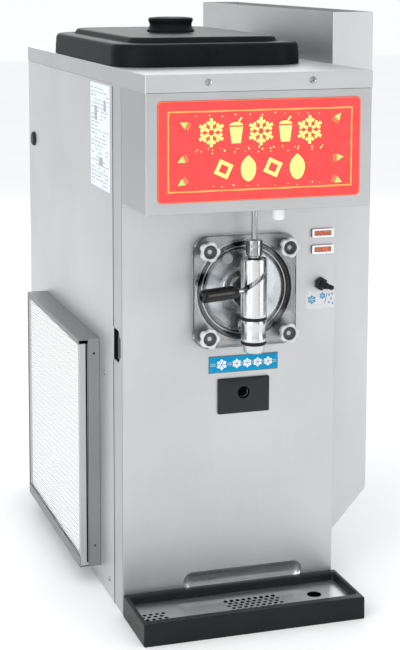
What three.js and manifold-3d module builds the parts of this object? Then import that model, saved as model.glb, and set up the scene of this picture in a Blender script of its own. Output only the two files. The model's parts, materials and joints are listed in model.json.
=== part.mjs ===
// Slushie machine: a counter-top freezer for frozen drinks, with its cabinet, cooling, drive and draw valve.
// Millimetres. +X is the machine's right seen from the front, +Y its back, +Z up.
// The origin is the middle of the cabinet's underside, on the counter.

import * as THREE from 'three';
import { mergeVertices } from 'three/addons/utils/BufferGeometryUtils.js';
import Module from 'manifold-3d';

const wasm = await Module();
wasm.setup();

// ---------------------------------------------------------------- driving dimensions

const gap = 0.3; // clearance between pieces that touch
const sheet = 1.2; // steel sheet of the panels
const panelLift = 1; // panels end this far above the counter

const cabinetWidth = 403;
const cabinetDepth = 755;
const cabinetHeight = 984; // counter to the top of the cover
const flangeDepth = 60; // the front panel's return along each side

const frameFloor = 3; // thickness of the base plate
const postWidth = 25;
const postWall = 3;
const postSetback = 32; // front posts behind the front panel, clear of the switch and the lights

const coverSkirt = 30; // height of the cover's turned-down edge
const displayReach = 145.5; // how far the display box stands out of the front panel
const displayHeight = 204;
const displayPanelWidth = 362;
const displayPanelHeight = 169.5;
const displayPanelThickness = 4;
const displayPanelRadius = 8;
const displayPanelDrop = 14.5; // top edge of the display panel below the cover's skirt
const lampRadius = 12.5;
const lampBehindFront = 60;
const lampAboveFloor = 120;

const lidWidth = 355;
const lidDepth = 543;
const lidRadius = 65;
const lidX = -23;
const lidBehindFront = 18; // front of the lid behind the front panel's plane
const lidWall = 6;
const lidSkirtHeight = 40;
const lidShoulder = 8;
const lidPlateauInset = 38;
const lidPlateauHeight = 10;
const lidKnobRadius = 43;
const lidKnobHeight = 27;
const hopperDepth = 170;
const hopperSheet = 1.5;
const hopperRim = 8; // width of the hopper's flange on the cover
const rimClearance = 1; // between the lid's wall and the hopper's flange
const feedRadius = 11; // bore of the feed tube
const feedWall = 3;
const feedAboveFloor = 120;
const feedInNeck = 25;
const neckWall = 5;

const chuteWidth = 78.7;
const chuteRise = 93; // top of the chute above the cover
const chuteFrontInset = 29;
const chuteBackOverhang = 15;
const chuteBottomInner = 94;
const chuteBottomOuter = 181;
const chuteWindow = { front: 98, back: 78, bottom: 250, top: 700 }; // air outlet in the right side
const grilleDrop = 12; // top of the grille below the chute's mouth
const grilleThickness = 5;
const grilleBars = 8;
const grilleBarWidth = 4;

const doorX = 24.5;
const doorZ = 584;
const doorMargin = { x: 7, z: 11.5 }; // door past the freezing cylinder's bore
const doorRadius = 27;
const doorThickness = 12;
const doorPlugDepth = 6;
const gasketWall = 3.5;
const boreRadius = 90; // inside of the freezing cylinder
const cylinderWall = 4;
const cylinderLength = 300;
const cylinderFlange = 5;
const insulationThickness = 26;
const feedBehindFront = 128; // feed hole behind the front panel's plane

const studInset = { x: 15, z: 12 }; // stud inside the bore's radius, along X and along Z
const studRadius = 4;
const knobRadius = 19.5;
const knobLobes = 5;
const knobLobeDepth = 3.5;
const knobLength = 24;
const knobRecess = { radius: 12, depth: 6 };
const insertRadius = 9;

const bearingRadius = 27.5;
const bearingReach = { front: 2, back: 14 }; // out of the door's front face, and behind its back face
const primePlug = {
  angle: 30.9, // degrees from straight up, to the left
  fromBore: 18.9,
  headRadius: 10,
  headHeight: 5,
  stemRadius: 5,
  stemLength: 20,
};

const valveReach = 52; // valve axis in front of the front panel
const sleeveBore = 19;
const sleeveWall = 4.4;
const sleeveAbovePort = 25; // bottom of the sleeve above the spout's port
const sleeveTop = 67; // heights of the valve are taken from the door's centre
const sleeveLug = { width: 24, bottom: 31, top: 56 };
const spoutNeck = { clearance: 2, wall: 3 }; // spout's neck inside the sleeve
const spoutShoulder = 5.5; // step from the neck out to the spout's body
const spoutTipWall = 4;
const spoutBelowPort = 39;
const spoutTipHeight = 15;
const sealHeight = 4.4;
const spoutPortRadius = 11;
const spoutPortAboveBore = 27; // port above the lowest line of the cylinder's bore
const plungerTop = 56;
const rodCapRadius = 14.5;
const rodCap = { bottom: 72, top: 100 };
const rodNeckRadius = 11;
const rodRadius = 5.3;
const rodInDisplay = 15; // how far the rod reaches into the display box at rest
const handleZ = 11;
const handleRest = 197; // degrees about +Z from +X
const handleSwing = 100; // degrees
const handleLift = 28; // rise over the whole swing
const handleShaftRadius = 4.5;
const handleShaftLength = 62;
const gripRadius = 12;
const gripStart = 38;
const gripEnd = 113;
const slotClearance = 1.2;

const lightSize = { x: 175, width: 42, height: 15.6, reach: 4.5, body: 22 };
const lightHeights = [679.75, 649.8];
const toggleX = 172.8;
const toggleZ = 586;
const toggleNutAcross = 22;
const toggleNutHeight = 6;
const toggleBushRadius = 6;
const toggleBushHeight = 10;
const toggleBody = { width: 18, height: 28, depth: 26 };
const toggleTilt = 12; // degrees to the right
const toggleLever = { ball: 7, radius: 4.6, length: 27 };

const adjusterPlate = { width: 98, height: 65, thickness: 3, radius: 2.5, z: 390.5 };
const adjusterZ = 395.5;
const adjusterHole = 11.5;
const adjusterRadius = 9;
const adjusterLength = 22;
const adjusterSink = 4; // its face behind the front panel's outer face
const controlBox = { left: -62, right: 108, bottom: 300, clear: 8.7, depth: 60 };

const trayOverhang = { left: 1.5, right: 7.5 }; // tray past the cabinet's sides
const trayDepth = 138.4;
const trayHeight = 40;
const trayRadius = 4;
const trayFloor = 4;
const trayWalls = { side: 9, front: 20, back: 15 };
const trayLedge = 6;
const trayLedgeHeight = 22;
const shieldThickness = 3;
const shieldSlots = { x: 34.5, length: 103, width: 6, count: 5, pitch: 11 };
const shieldSideSlots = { x: -167.5, length: 35, width: 6, count: 4, pitch: 11 };
const shieldDrain = { x: 140, radius: 13 };

const recess = { left: -88, right: 141, bottom: 26, top: 66, radius: 17, depth: 16 };
const fingerPull = { bottom: 459, top: 518, depth: 47, chamfer: 14 };

const filterFront = 158; // front of the filter bracket behind the front panel's plane
const filterWidth = 445;
const filterBottom = 35;
const filterTop = 474;
const bracketReach = 22;
const filterThickness = 16.9;
const bracketRail = 20; // width of the bracket's ring
const bracketLips = { bottom: 20, top: 10 }; // how far the channels cover the filter's face
const bracketSheet = 1.5;
const filterRail = 8; // width of the filter's own frame
const filterMediaInset = 2.5;

const condenser = { thickness: 50, clear: 8, bottom: 50, margin: 8, foot: 12 };
const fanRadius = 150;
const fanHub = 30;
const fanBlades = 5;
const fanDepth = 24;
const fanBehindCondenser = 12;
const fanMotor = { radius: 38, length: 70, post: 30 };

const compressor = { x: 105, behindFront: 157, radius: 75, height: 218 };
const reducer = { width: 140, height: 140, depth: 120, behindCylinder: 10, bore: 26 };
const shaftRadius = 12;
const pulleyShaftRadius = 9;
const pulleyStandoff = 10; // pulleys behind the reducer
const shaftEndPlay = 2;
const drivenPulley = 60;
const motorPulley = 30;
const pulleyWidth = 20;
const pulleyRim = 3;
const beltThickness = 8;
const beltClearance = 1.2;
const motorStand = { halfWidth: 35, inset: 15, plate: 4 };
const motor = { x: 95, z: 300, radius: 70, length: 165, bore: 22, behindFront: 257 };
const beater = { clear: 4, strip: 18, bar: 6, turns: 1.25, blade: 10 };

// ---------------------------------------------------------------- derived places

const radians = THREE.MathUtils.degToRad;
const halfWidth = cabinetWidth / 2;
const front = -cabinetDepth / 2;
const back = cabinetDepth / 2;
const panelTop = cabinetHeight - sheet - gap;
const insideFront = front + sheet + gap;
const displayBottom = cabinetHeight - coverSkirt - displayHeight;
const displayFront = front - displayReach;
const hopperWidth = lidWidth - 2 * (lidWall + rimClearance + hopperRim);
const hopperLength = lidDepth - 2 * (lidWall + rimClearance + hopperRim);
const hopperRadius = lidRadius - lidWall - rimClearance - hopperRim;
const lidY = front + lidBehindFront + lidDepth / 2;
const hopperFloor = cabinetHeight - hopperDepth;
const feedY = front + feedBehindFront;
const neckBore = feedRadius + feedWall + gap;
const cylinderRadius = boreRadius + cylinderWall;
const insulationRadius = cylinderRadius + gap + insulationThickness;
const doorWidth = 2 * (boreRadius + doorMargin.x);
const doorHeight = 2 * (boreRadius + doorMargin.z);
const studX = boreRadius - studInset.x;
const studZ = boreRadius - studInset.z;
const primeX = -(boreRadius - primePlug.fromBore) * Math.sin(radians(primePlug.angle));
const primeZ = (boreRadius - primePlug.fromBore) * Math.cos(radians(primePlug.angle));
const sleeveRadius = sleeveBore + sleeveWall;
const spoutNeckRadius = sleeveBore - spoutNeck.clearance;
const spoutRadius = spoutNeckRadius + spoutShoulder;
const spoutBore = spoutNeckRadius - spoutNeck.wall;
const spoutTipRadius = spoutBore + spoutTipWall;
const spoutPortZ = spoutPortAboveBore - boreRadius;
const sleeveBottom = spoutPortZ + sleeveAbovePort;
const spoutBottom = spoutPortZ - spoutBelowPort;
const controlBoxTop = doorZ - insulationRadius - controlBox.clear;
const beaterRadius = boreRadius - beater.clear;
const valveY = front - valveReach;
const doorFace = -gap - doorThickness; // from the front panel's plane
const knobBack = doorFace - gap;
const filterY = front + filterFront + filterWidth / 2;
const filterMidZ = (filterBottom + filterTop) / 2;
const condenserBack = -halfWidth + sheet + condenser.clear + condenser.thickness;
const reducerFront = cylinderLength + reducer.behindCylinder;
const reducerBack = reducerFront + reducer.depth;
const pulleyFront = front + reducerBack + pulleyStandoff;

// ---------------------------------------------------------------- helpers

const boreSegments = 28; // facets of every piece that fits the freezing cylinder

// The closed solid of a three.js geometry, turned so that its faces point out.
function solid(geometry) {
  const bare = geometry.clone();
  bare.deleteAttribute('normal');
  bare.deleteAttribute('uv');
  const merged = mergeVertices(bare, 1e-4);
  const points = merged.attributes.position;
  const corner = [new THREE.Vector3(), new THREE.Vector3(), new THREE.Vector3()];
  const triangles = [];
  let volume = 0;
  for (let i = 0; i < merged.index.count; i += 3) {
    const ids = [0, 1, 2].map((k) => merged.index.getX(i + k));
    if (ids[0] === ids[1] || ids[1] === ids[2] || ids[2] === ids[0]) continue;
    ids.forEach((id, k) => corner[k].fromBufferAttribute(points, id));
    volume += corner[0].dot(corner[1].clone().cross(corner[2]));
    triangles.push(ids);
  }
  const facing = ([a, b, c]) => (volume < 0 ? [a, c, b] : [a, b, c]);
  const triVerts = new Uint32Array(triangles.flatMap(facing));
  return new wasm.Manifold(new wasm.Mesh({ numProp: 3, vertProperties: points.array, triVerts }));
}

function block(x0, x1, y0, y1, z0, z1) {
  const geometry = new THREE.BoxGeometry(x1 - x0, y1 - y0, z1 - z0);
  return solid(geometry.translate((x0 + x1) / 2, (y0 + y1) / 2, (z0 + z1) / 2));
}

// A body of revolution about Z from [radius, height] pairs that start and end on the axis or close up.
function latheZ(profile, segments) {
  const points = profile.map(([r, h]) => new THREE.Vector2(r, h));
  return new THREE.LatheGeometry(points, segments).rotateX(Math.PI / 2);
}

function turnedZ(profile, segments = 32) {
  return solid(latheZ(profile, segments));
}

// The same about Y, with heights along +Y, and about X, with heights along +X.
function turnedY(profile, segments = 32) {
  return solid(latheZ(profile, segments).rotateX(-Math.PI / 2));
}

function turnedX(profile, segments = 32) {
  return solid(latheZ(profile, segments).rotateY(Math.PI / 2));
}

const disc = (radius, from, to) => [[0, from], [radius, from], [radius, to], [0, to]];
const tube = (inner, outer, from, to) =>
  [[inner, from], [outer, from], [outer, to], [inner, to], [inner, from]];

function extruded(shape, length, curveSegments = 4) {
  return new THREE.ExtrudeGeometry(shape, { depth: length, bevelEnabled: false, curveSegments });
}

// A shape drawn in plan and raised from z0 to z1.
function planPlate(shape, z0, z1) {
  return solid(extruded(shape, z1 - z0).translate(0, 0, z0));
}

// A shape drawn in X and Z, as deep as y0 to y1.
function frontPlate(shape, y0, y1, curveSegments) {
  return solid(extruded(shape, y1 - y0, curveSegments).rotateX(Math.PI / 2).translate(0, y1, 0));
}

// A shape drawn in Y and Z, as thick as x0 to x1.
function sidePlate(shape, x0, x1) {
  return solid(extruded(shape, x1 - x0).rotateX(Math.PI / 2).rotateZ(Math.PI / 2).translate(x0, 0, 0));
}

function polygon(points) {
  return new THREE.Shape(points.map(([x, y]) => new THREE.Vector2(x, y)));
}

function roundedRectangle(x0, x1, y0, y1, radius) {
  const shape = new THREE.Shape();
  shape.absarc(x1 - radius, y1 - radius, radius, 0, Math.PI / 2);
  shape.absarc(x0 + radius, y1 - radius, radius, Math.PI / 2, Math.PI);
  shape.absarc(x0 + radius, y0 + radius, radius, Math.PI, 1.5 * Math.PI);
  shape.absarc(x1 - radius, y0 + radius, radius, 1.5 * Math.PI, 2 * Math.PI);
  shape.closePath();
  return shape;
}

const centredRectangle = (width, height, radius) =>
  roundedRectangle(-width / 2, width / 2, -height / 2, height / 2, radius);

// A strip of rectangular section that winds about Z while it climbs.
function ribbon({ inner, outer, fromAngle, toAngle, fromZ, toZ, width, steps }) {
  const section = [[inner, -width / 2], [outer, -width / 2], [outer, width / 2], [inner, width / 2]];
  const positions = [];
  const indices = [];
  for (let i = 0; i <= steps; i++) {
    const angle = THREE.MathUtils.lerp(fromAngle, toAngle, i / steps);
    const z = THREE.MathUtils.lerp(fromZ, toZ, i / steps);
    for (const [r, h] of section) positions.push(r * Math.cos(angle), r * Math.sin(angle), z + h);
  }
  for (let i = 0; i < steps; i++) {
    for (let k = 0; k < 4; k++) {
      const a = i * 4 + k;
      const b = i * 4 + ((k + 1) % 4);
      indices.push(a, b, b + 4, a, b + 4, a + 4);
    }
  }
  const end = steps * 4;
  indices.push(0, 3, 2, 0, 2, 1, end, end + 1, end + 2, end, end + 2, end + 3);
  const geometry = new THREE.BufferGeometry();
  geometry.setAttribute('position', new THREE.Float32BufferAttribute(positions, 3));
  geometry.setIndex(indices);
  return geometry;
}

function joined(solids) {
  return solids.reduce((sum, next) => sum.add(next));
}

function finish(color, roughness, metalness, opacity = 1) {
  return new THREE.MeshStandardMaterial({ color, roughness, metalness, opacity, transparent: opacity < 1 });
}

const steel = () => finish(0xb9bbbd, 0.38, 0.9);
const chrome = () => finish(0xd9dbde, 0.12, 1);
const blackPlastic = () => finish(0x161617, 0.5, 0);
const painted = (color) => finish(color, 0.5, 0.3);

// A named mesh of a solid, placed where it belongs.
function piece(name, shape, material, place = [0, 0, 0]) {
  const { vertProperties, triVerts } = shape.getMesh();
  const geometry = new THREE.BufferGeometry();
  geometry.setAttribute('position', new THREE.BufferAttribute(vertProperties, 3));
  geometry.setIndex(new THREE.BufferAttribute(triVerts, 1));
  geometry.computeVertexNormals();
  const mesh = new THREE.Mesh(geometry, material);
  mesh.name = name;
  mesh.position.set(...place);
  return mesh;
}

// ---------------------------------------------------------------- cabinet

// Base plate, four corner posts, rails round the top, and the shelf and stand that carry the drive.
function cabinetFrame() {
  const x = halfWidth - sheet - gap;
  const yFront = insideFront + postSetback;
  const yBack = back - sheet - gap;
  const top = hopperFloor - 40;
  const shelfTop = doorZ - reducer.height / 2 - gap;
  const shelfFront = front + reducerFront;
  const parts = [block(-x, x, insideFront, yBack, 0, frameFloor)];
  for (const side of [-1, 1]) {
    const edge = side * x;
    const inner = side * (x - postWidth);
    const wall = side * (x - postWall);
    for (const [near, inward] of [[yFront, 1], [yBack, -1]]) {
      const ys = [near, near + inward * postWidth].sort((a, b) => a - b);
      const webs = [near, near + inward * postWall].sort((a, b) => a - b);
      parts.push(block(Math.min(edge, wall), Math.max(edge, wall), ys[0], ys[1], 0, top));
      parts.push(block(Math.min(edge, inner), Math.max(edge, inner), webs[0], webs[1], 0, top));
    }
    for (const railTop of [top, shelfTop]) {
      const low = railTop - postWidth;
      parts.push(block(Math.min(edge, wall), Math.max(edge, wall), yFront, yBack, low, railTop));
    }
  }
  parts.push(block(-x, x, yBack - postWall, yBack, top - postWidth, top));
  parts.push(block(-x, x, shelfFront, shelfFront + reducer.depth, shelfTop - postWall, shelfTop));
  return piece('cabinet_frame', joined([...parts, ...motorStandPlates()]), painted(0x8a8d90));
}

// A table on two webs under the drive motor.
function motorStandPlates() {
  const { halfWidth: half, inset, plate } = motorStand;
  const top = motor.z - motor.radius - gap;
  const y0 = front + motor.behindFront + inset;
  const y1 = y0 + motor.length - 2 * inset;
  const left = motor.x - half;
  const right = motor.x + half;
  return [
    block(left, right, y0, y1, top - plate, top),
    block(left, left + plate, y0, y1, 0, top),
    block(right - plate, right, y0, y1, 0, top),
  ];
}

function frontPanelOutline() {
  const left = -halfWidth;
  const right = halfWidth;
  const end = front + flangeDepth;
  return polygon([
    [left, front], [right, front], [right, end], [right - sheet, end],
    [right - sheet, front + sheet], [left + sheet, front + sheet], [left + sheet, end], [left, end],
  ]);
}

// The pocket behind the tray's upper edge, by which the panel is lifted off.
function recessOutline(grow) {
  const { left, right, bottom, top, radius } = recess;
  return roundedRectangle(left - grow, right + grow, bottom - grow, top + grow, radius + grow);
}

function frontPanel() {
  let panel = planPlate(frontPanelOutline(), panelLift, panelTop);
  const pocketBack = front + recess.depth;
  const pocket = frontPlate(recessOutline(sheet), front + sheet / 2, pocketBack);
  panel = panel.add(pocket).subtract(frontPlate(recessOutline(0), front - 1, pocketBack - sheet));
  const through = (r) => disc(r, -1, sheet + 1);
  const at = (profile, x, z, segments = 16) => {
    const hole = latheZ(profile, segments).rotateX(-Math.PI / 2).translate(x, front, z);
    panel = panel.subtract(solid(hole));
  };
  at(through(cylinderRadius + gap), doorX, doorZ, boreSegments);
  for (const [x, z] of studPlaces()) at(through(studRadius + gap), doorX + x, doorZ + z);
  at(through(toggleBushRadius + gap), toggleX, toggleZ);
  at(through(adjusterHole), doorX, adjusterZ);
  for (const z of lightHeights) {
    const halfX = lightSize.width / 2 - 3 + gap;
    const halfZ = lightSize.height / 2 - 2 + gap;
    const [left, right] = [lightSize.x - halfX, lightSize.x + halfX];
    panel = panel.subtract(block(left, right, front - 1, front + sheet + 1, z - halfZ, z + halfZ));
  }
  const { bottom, top, depth, chamfer } = fingerPull;
  const seam = front + flangeDepth;
  const deepest = seam - depth;
  const notch = polygon([
    [seam + 1, bottom], [seam + 1, top], [deepest + chamfer, top],
    [deepest, top - chamfer], [deepest, bottom + chamfer], [deepest + chamfer, bottom],
  ]);
  panel = panel.subtract(sidePlate(notch, -halfWidth - 1, -halfWidth + sheet + 1));
  return piece('front_panel', panel, steel());
}

function sidePanel(name, side, windowShape) {
  const yFront = front + flangeDepth + gap;
  const yBack = back - sheet - gap;
  const x = side * (halfWidth - sheet / 2);
  const x0 = x - sheet / 2;
  const x1 = x + sheet / 2;
  const panel = block(x0, x1, yFront, yBack, panelLift, panelTop);
  return piece(name, panel.subtract(sidePlate(windowShape, x0 - 1, x1 + 1)), steel());
}

// The air inlet behind the filter, in the left side.
function leftSidePanel() {
  const half = filterWidth / 2 - bracketRail;
  const low = filterBottom + bracketRail;
  const high = filterTop - bracketRail;
  const inlet = roundedRectangle(filterY - half, filterY + half, low, high, 6);
  return sidePanel('left_side_panel', -1, inlet);
}

function outletShape() {
  const { front: fromFront, back: fromBack, bottom, top } = chuteWindow;
  return roundedRectangle(front + fromFront, back - fromBack, bottom, top, 6);
}

function rearPanel() {
  const panel = block(-halfWidth, halfWidth, back - sheet, back, panelLift, panelTop);
  return piece('rear_panel', panel, steel());
}

function topCover() {
  const half = halfWidth + gap + sheet;
  const yFront = displayFront - gap - sheet;
  const yBack = back + gap + sheet;
  const bottom = cabinetHeight - coverSkirt;
  const outer = block(-half, half, yFront, yBack, bottom, cabinetHeight);
  const ceiling = cabinetHeight - sheet;
  const inner = block(-half + sheet, half - sheet, yFront + sheet, yBack - sheet, bottom - 1, ceiling);
  const hopperOutline = centredRectangle(hopperWidth + 2 * gap, hopperLength + 2 * gap, hopperRadius + gap);
  const opening = planPlate(hopperOutline, ceiling - 1, cabinetHeight + 1);
  const cover = outer.subtract(inner).subtract(opening.translate([lidX, lidY, 0]));
  return piece('top_cover', cover, steel());
}

// ---------------------------------------------------------------- hopper and lid

function hopper() {
  const shell = (inset, z0, z1) => planPlate(
    centredRectangle(hopperWidth - 2 * inset, hopperLength - 2 * inset, hopperRadius - inset), z0, z1);
  const rimBottom = cabinetHeight + gap;
  const rimTop = rimBottom + hopperSheet;
  const neckTop = hopperFloor + hopperSheet;
  const neckBottom = doorZ + cylinderRadius + gap;
  const neckOuter = neckBore + neckWall;
  const toNeck = (profile) => solid(latheZ(profile, 16).translate(doorX - lidX, feedY - lidY, 0));
  const body = shell(0, hopperFloor, rimTop)
    .add(shell(-hopperRim, rimBottom, rimTop))
    .subtract(shell(hopperSheet, neckTop, rimTop + 1))
    .add(toNeck(disc(neckOuter, neckBottom, neckTop)))
    .subtract(toNeck(disc(neckBore, neckBottom - 1, neckTop + 1)));
  return piece('hopper', body, steel(), [lidX, lidY, 0]);
}

function feedTube() {
  const outer = feedRadius + feedWall;
  const collar = hopperSheet + gap;
  const profile = [
    [feedRadius, -feedInNeck], [outer, -feedInNeck], [outer, collar], [outer + 4, collar],
    [outer + 4, collar + 6], [outer, collar + 6], [outer, feedAboveFloor], [feedRadius, feedAboveFloor],
    [feedRadius, -feedInNeck],
  ];
  return piece('feed_tube', turnedZ(profile, 16), finish(0xe8e8e6, 0.5, 0), [doorX, feedY, hopperFloor]);
}

function hopperLid() {
  const plan = (inset) => centredRectangle(lidWidth - 2 * inset, lidDepth - 2 * inset, lidRadius - inset);
  const skirtTop = lidSkirtHeight;
  const steps = 2;
  let lid = planPlate(plan(0), 0, skirtTop - lidShoulder);
  for (let step = 1; step <= steps; step++) {
    const angle = (step / steps) * Math.PI / 2;
    const inset = lidShoulder * (1 - Math.cos(angle - Math.PI / (4 * steps)));
    lid = lid.add(planPlate(plan(inset), 0, skirtTop - lidShoulder * (1 - Math.sin(angle))));
  }
  const plateauTop = skirtTop + lidPlateauHeight;
  lid = lid.add(planPlate(plan(lidPlateauInset), 0, plateauTop));
  lid = lid.subtract(planPlate(plan(lidWall), -1, skirtTop - lidWall));
  const knobTop = plateauTop + lidKnobHeight;
  const knob = [
    [0, plateauTop - 1], [lidKnobRadius + 3, plateauTop - 1], [lidKnobRadius + 3, plateauTop + 4],
    [lidKnobRadius - 2, plateauTop + 8], [lidKnobRadius - 2, knobTop - 7],
    [lidKnobRadius, knobTop - 5], [lidKnobRadius, knobTop - 2], [lidKnobRadius - 3, knobTop], [0, knobTop],
  ];
  return piece('hopper_lid', lid.add(turnedZ(knob, 24)), blackPlastic(), [lidX, lidY, cabinetHeight + gap]);
}

// ---------------------------------------------------------------- discharge chute

const chuteLeft = halfWidth + gap + sheet + gap;
const chuteTop = cabinetHeight + chuteRise;

function chuteOutline(inset) {
  const right = chuteLeft + chuteWidth;
  return polygon([
    [chuteLeft + inset, chuteBottomInner + 2.2 * inset], [right - inset, chuteBottomOuter + 0.1 * inset],
    [right - inset, chuteTop + inset], [chuteLeft + inset, chuteTop + inset],
  ]);
}

function dischargeChute() {
  const yFront = front + chuteFrontInset;
  const yBack = back + chuteBackOverhang;
  const outer = frontPlate(chuteOutline(0), yFront, yBack);
  const inner = frontPlate(chuteOutline(sheet), yFront + sheet, yBack - sheet);
  const inlet = sidePlate(outletShape(), chuteLeft - 1, chuteLeft + sheet + 1);
  return piece('discharge_chute', outer.subtract(inner).subtract(inlet), steel());
}

function chuteGrille() {
  const x0 = chuteLeft + sheet + gap;
  const x1 = chuteLeft + chuteWidth - sheet - gap;
  const y0 = front + chuteFrontInset + sheet + gap;
  const y1 = back + chuteBackOverhang - sheet - gap;
  const top = chuteTop - grilleDrop;
  const bottom = top - grilleThickness;
  const rim = 5;
  const frame = block(x0, x1, y0, y1, bottom, top)
    .subtract(block(x0 + rim, x1 - rim, y0 + rim, y1 - rim, bottom - 1, top + 1));
  const parts = [frame];
  const pitch = (y1 - y0) / (grilleBars + 1);
  for (let i = 1; i <= grilleBars; i++) {
    const y = y0 + i * pitch;
    parts.push(block(x0 + 1, x1 - 1, y - grilleBarWidth / 2, y + grilleBarWidth / 2, bottom, top));
  }
  return piece('chute_grille', joined(parts), blackPlastic());
}

// ---------------------------------------------------------------- display

function displayHousing() {
  const yBack = front - gap;
  const outer = block(-halfWidth, halfWidth, displayFront, yBack, displayBottom, panelTop);
  const inner = block(-halfWidth + sheet, halfWidth - sheet, displayFront + sheet, yBack + 1,
    displayBottom + sheet, panelTop + 1);
  const rodHole = solid(latheZ(disc(rodRadius + 2, displayBottom - 1, displayBottom + sheet + 1), 20)
    .translate(doorX, valveY, 0));
  const window = frontPlate(displayPanelOutline(gap), displayFront - 1, displayFront + sheet + 1);
  return piece('display_housing', outer.subtract(inner).subtract(rodHole).subtract(window), steel());
}

function displayPanelOutline(grow) {
  const top = cabinetHeight - coverSkirt - displayPanelDrop;
  const half = displayPanelWidth / 2;
  return roundedRectangle(-half - grow, half + grow, top - displayPanelHeight - grow, top + grow,
    displayPanelRadius + grow);
}

function displayPanel() {
  const face = displayFront - 1;
  const panel = frontPlate(displayPanelOutline(0), face, face + displayPanelThickness);
  return piece('display_panel', panel, finish(0xee4239, 0.35, 0));
}

function displayLamp() {
  const end = halfWidth - sheet - gap;
  const cap = 14;
  const profile = [
    [0, -end], [lampRadius + 2, -end], [lampRadius + 2, -end + cap], [lampRadius, -end + cap],
    [lampRadius, end - cap], [lampRadius + 2, end - cap], [lampRadius + 2, end], [0, end],
  ];
  const place = [0, displayFront + lampBehindFront, displayBottom + lampAboveFloor];
  return piece('display_lamp', turnedX(profile, 16), finish(0xf4f4f0, 0.4, 0), place);
}

// The switch that the rod lifts to start the beater, on a bracket from the front panel.
function drawSwitch() {
  const bottom = displayBottom + rodInDisplay + handleLift + 2;
  const body = block(-14, 14, -12, 12, bottom, bottom + 30);
  const arm = block(-14, 14, 10, valveReach - gap, bottom + 10, bottom + 30);
  return piece('draw_switch', body.add(arm), blackPlastic(), [doorX, valveY, 0]);
}

// ---------------------------------------------------------------- freezing cylinder and door

const doorPlace = [doorX, front, doorZ];

function studPlaces() {
  return [[-1, 1], [1, 1], [-1, -1], [1, -1]].map(([x, z]) => [x * studX, z * studZ]);
}

function alongY(profile, x, z, segments = 20) {
  return solid(latheZ(profile, segments).rotateX(-Math.PI / 2).translate(x, 0, z));
}

// A bore straight down onto the cylinder's axis, under the hopper's neck.
function uprightHole(radius, height) {
  return solid(latheZ(disc(radius, 0, height), 20).translate(0, feedBehindFront, 0));
}

// Tube, rear wall and front flange welded together, with the four door studs.
function freezingCylinder() {
  const shaftHole = shaftRadius + gap;
  const rear = cylinderLength;
  const tubeProfile = [
    [boreRadius, 0], [cylinderRadius, 0], [cylinderRadius, rear], [shaftHole, rear],
    [shaftHole, rear - cylinderWall], [boreRadius, rear - cylinderWall], [boreRadius, 0],
  ];
  const flangeFront = sheet + gap;
  let body = frontPlate(centredRectangle(doorWidth - 8, doorHeight - 8, doorRadius - 4),
    flangeFront, flangeFront + cylinderFlange)
    .subtract(turnedY(disc(cylinderRadius - 1, 0, cylinderFlange + 5), boreSegments))
    .add(turnedY(tubeProfile, boreSegments));
  const stud = disc(studRadius, knobBack - knobLength + knobRecess.depth, flangeFront + 1);
  for (const [x, z] of studPlaces()) body = body.add(alongY(stud, x, z, 12));
  const feedHole = uprightHole(feedRadius, cylinderRadius + 5);
  return piece('freezing_cylinder', body.subtract(feedHole), steel(), doorPlace);
}

function cylinderInsulation() {
  const inner = cylinderRadius + gap;
  const from = sheet + gap + cylinderFlange + gap;
  const sleeve = turnedY(tube(inner, insulationRadius, from, cylinderLength), boreSegments);
  const cut = uprightHole(neckBore + neckWall + gap, insulationRadius + 5);
  return piece('cylinder_insulation', sleeve.subtract(cut), finish(0xe6dcae, 0.9, 0), doorPlace);
}

const doorPlugRadius = boreRadius - gap - gasketWall - gap;

function freezerDoor() {
  let door = frontPlate(centredRectangle(doorWidth, doorHeight, doorRadius), doorFace, -gap)
    .add(turnedY(disc(doorPlugRadius, -gap - 1, doorPlugDepth), boreSegments));
  const drill = (r, x, z, segments = 12) => {
    door = door.subtract(alongY(disc(r, doorFace - 5, doorPlugDepth + 5), x, z, segments));
  };
  drill(bearingRadius + gap, 0, 0, 24);
  drill(primePlug.stemRadius + gap, primeX, primeZ);
  drill(spoutPortRadius, 0, spoutPortZ, 16);
  for (const [x, z] of studPlaces()) drill(studRadius + gap, x, z);
  return piece('freezer_door', door, finish(0xe4e8ea, 0.08, 0, 0.4), doorPlace);
}

function doorGasket() {
  const ring = tube(doorPlugRadius + gap, boreRadius - gap, 0.5, doorPlugDepth - 0.5);
  return piece('door_gasket', turnedY(ring, boreSegments), blackPlastic(), doorPlace);
}

function frontBearing() {
  const face = doorFace - bearingReach.front;
  const rear = bearingReach.back;
  const bore = 6 + gap;
  const profile = [
    [0, face], [bearingRadius, face], [bearingRadius, rear], [bore, rear],
    [bore, face + 6], [0, face + 6],
  ];
  return piece('front_bearing', turnedY(profile, 24), blackPlastic(), doorPlace);
}

function primingPlug() {
  const headBack = doorFace - gap;
  const { headRadius, headHeight, stemRadius, stemLength } = primePlug;
  const face = headBack - headHeight;
  const tip = headBack + stemLength;
  const profile = [
    [0, face], [headRadius - 1, face], [headRadius, face + 1],
    [headRadius, headBack], [stemRadius, headBack], [stemRadius, tip], [0, tip],
  ];
  const place = [doorX + primeX, front, doorZ + primeZ];
  return piece('prime_plug', turnedY(profile, 16), finish(0xd4d6d8, 0.4, 0), place);
}

// ---------------------------------------------------------------- door handscrews

function starOutline() {
  const shape = new THREE.Shape();
  const count = knobLobes * 5;
  for (let i = 0; i < count; i++) {
    const angle = (i / count) * 2 * Math.PI;
    const r = knobRadius - knobLobeDepth * (0.5 - 0.5 * Math.cos(knobLobes * angle)) ** 2;
    if (i === 0) shape.moveTo(r * Math.cos(angle), r * Math.sin(angle));
    else shape.lineTo(r * Math.cos(angle), r * Math.sin(angle));
  }
  shape.closePath();
  return shape;
}

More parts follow.
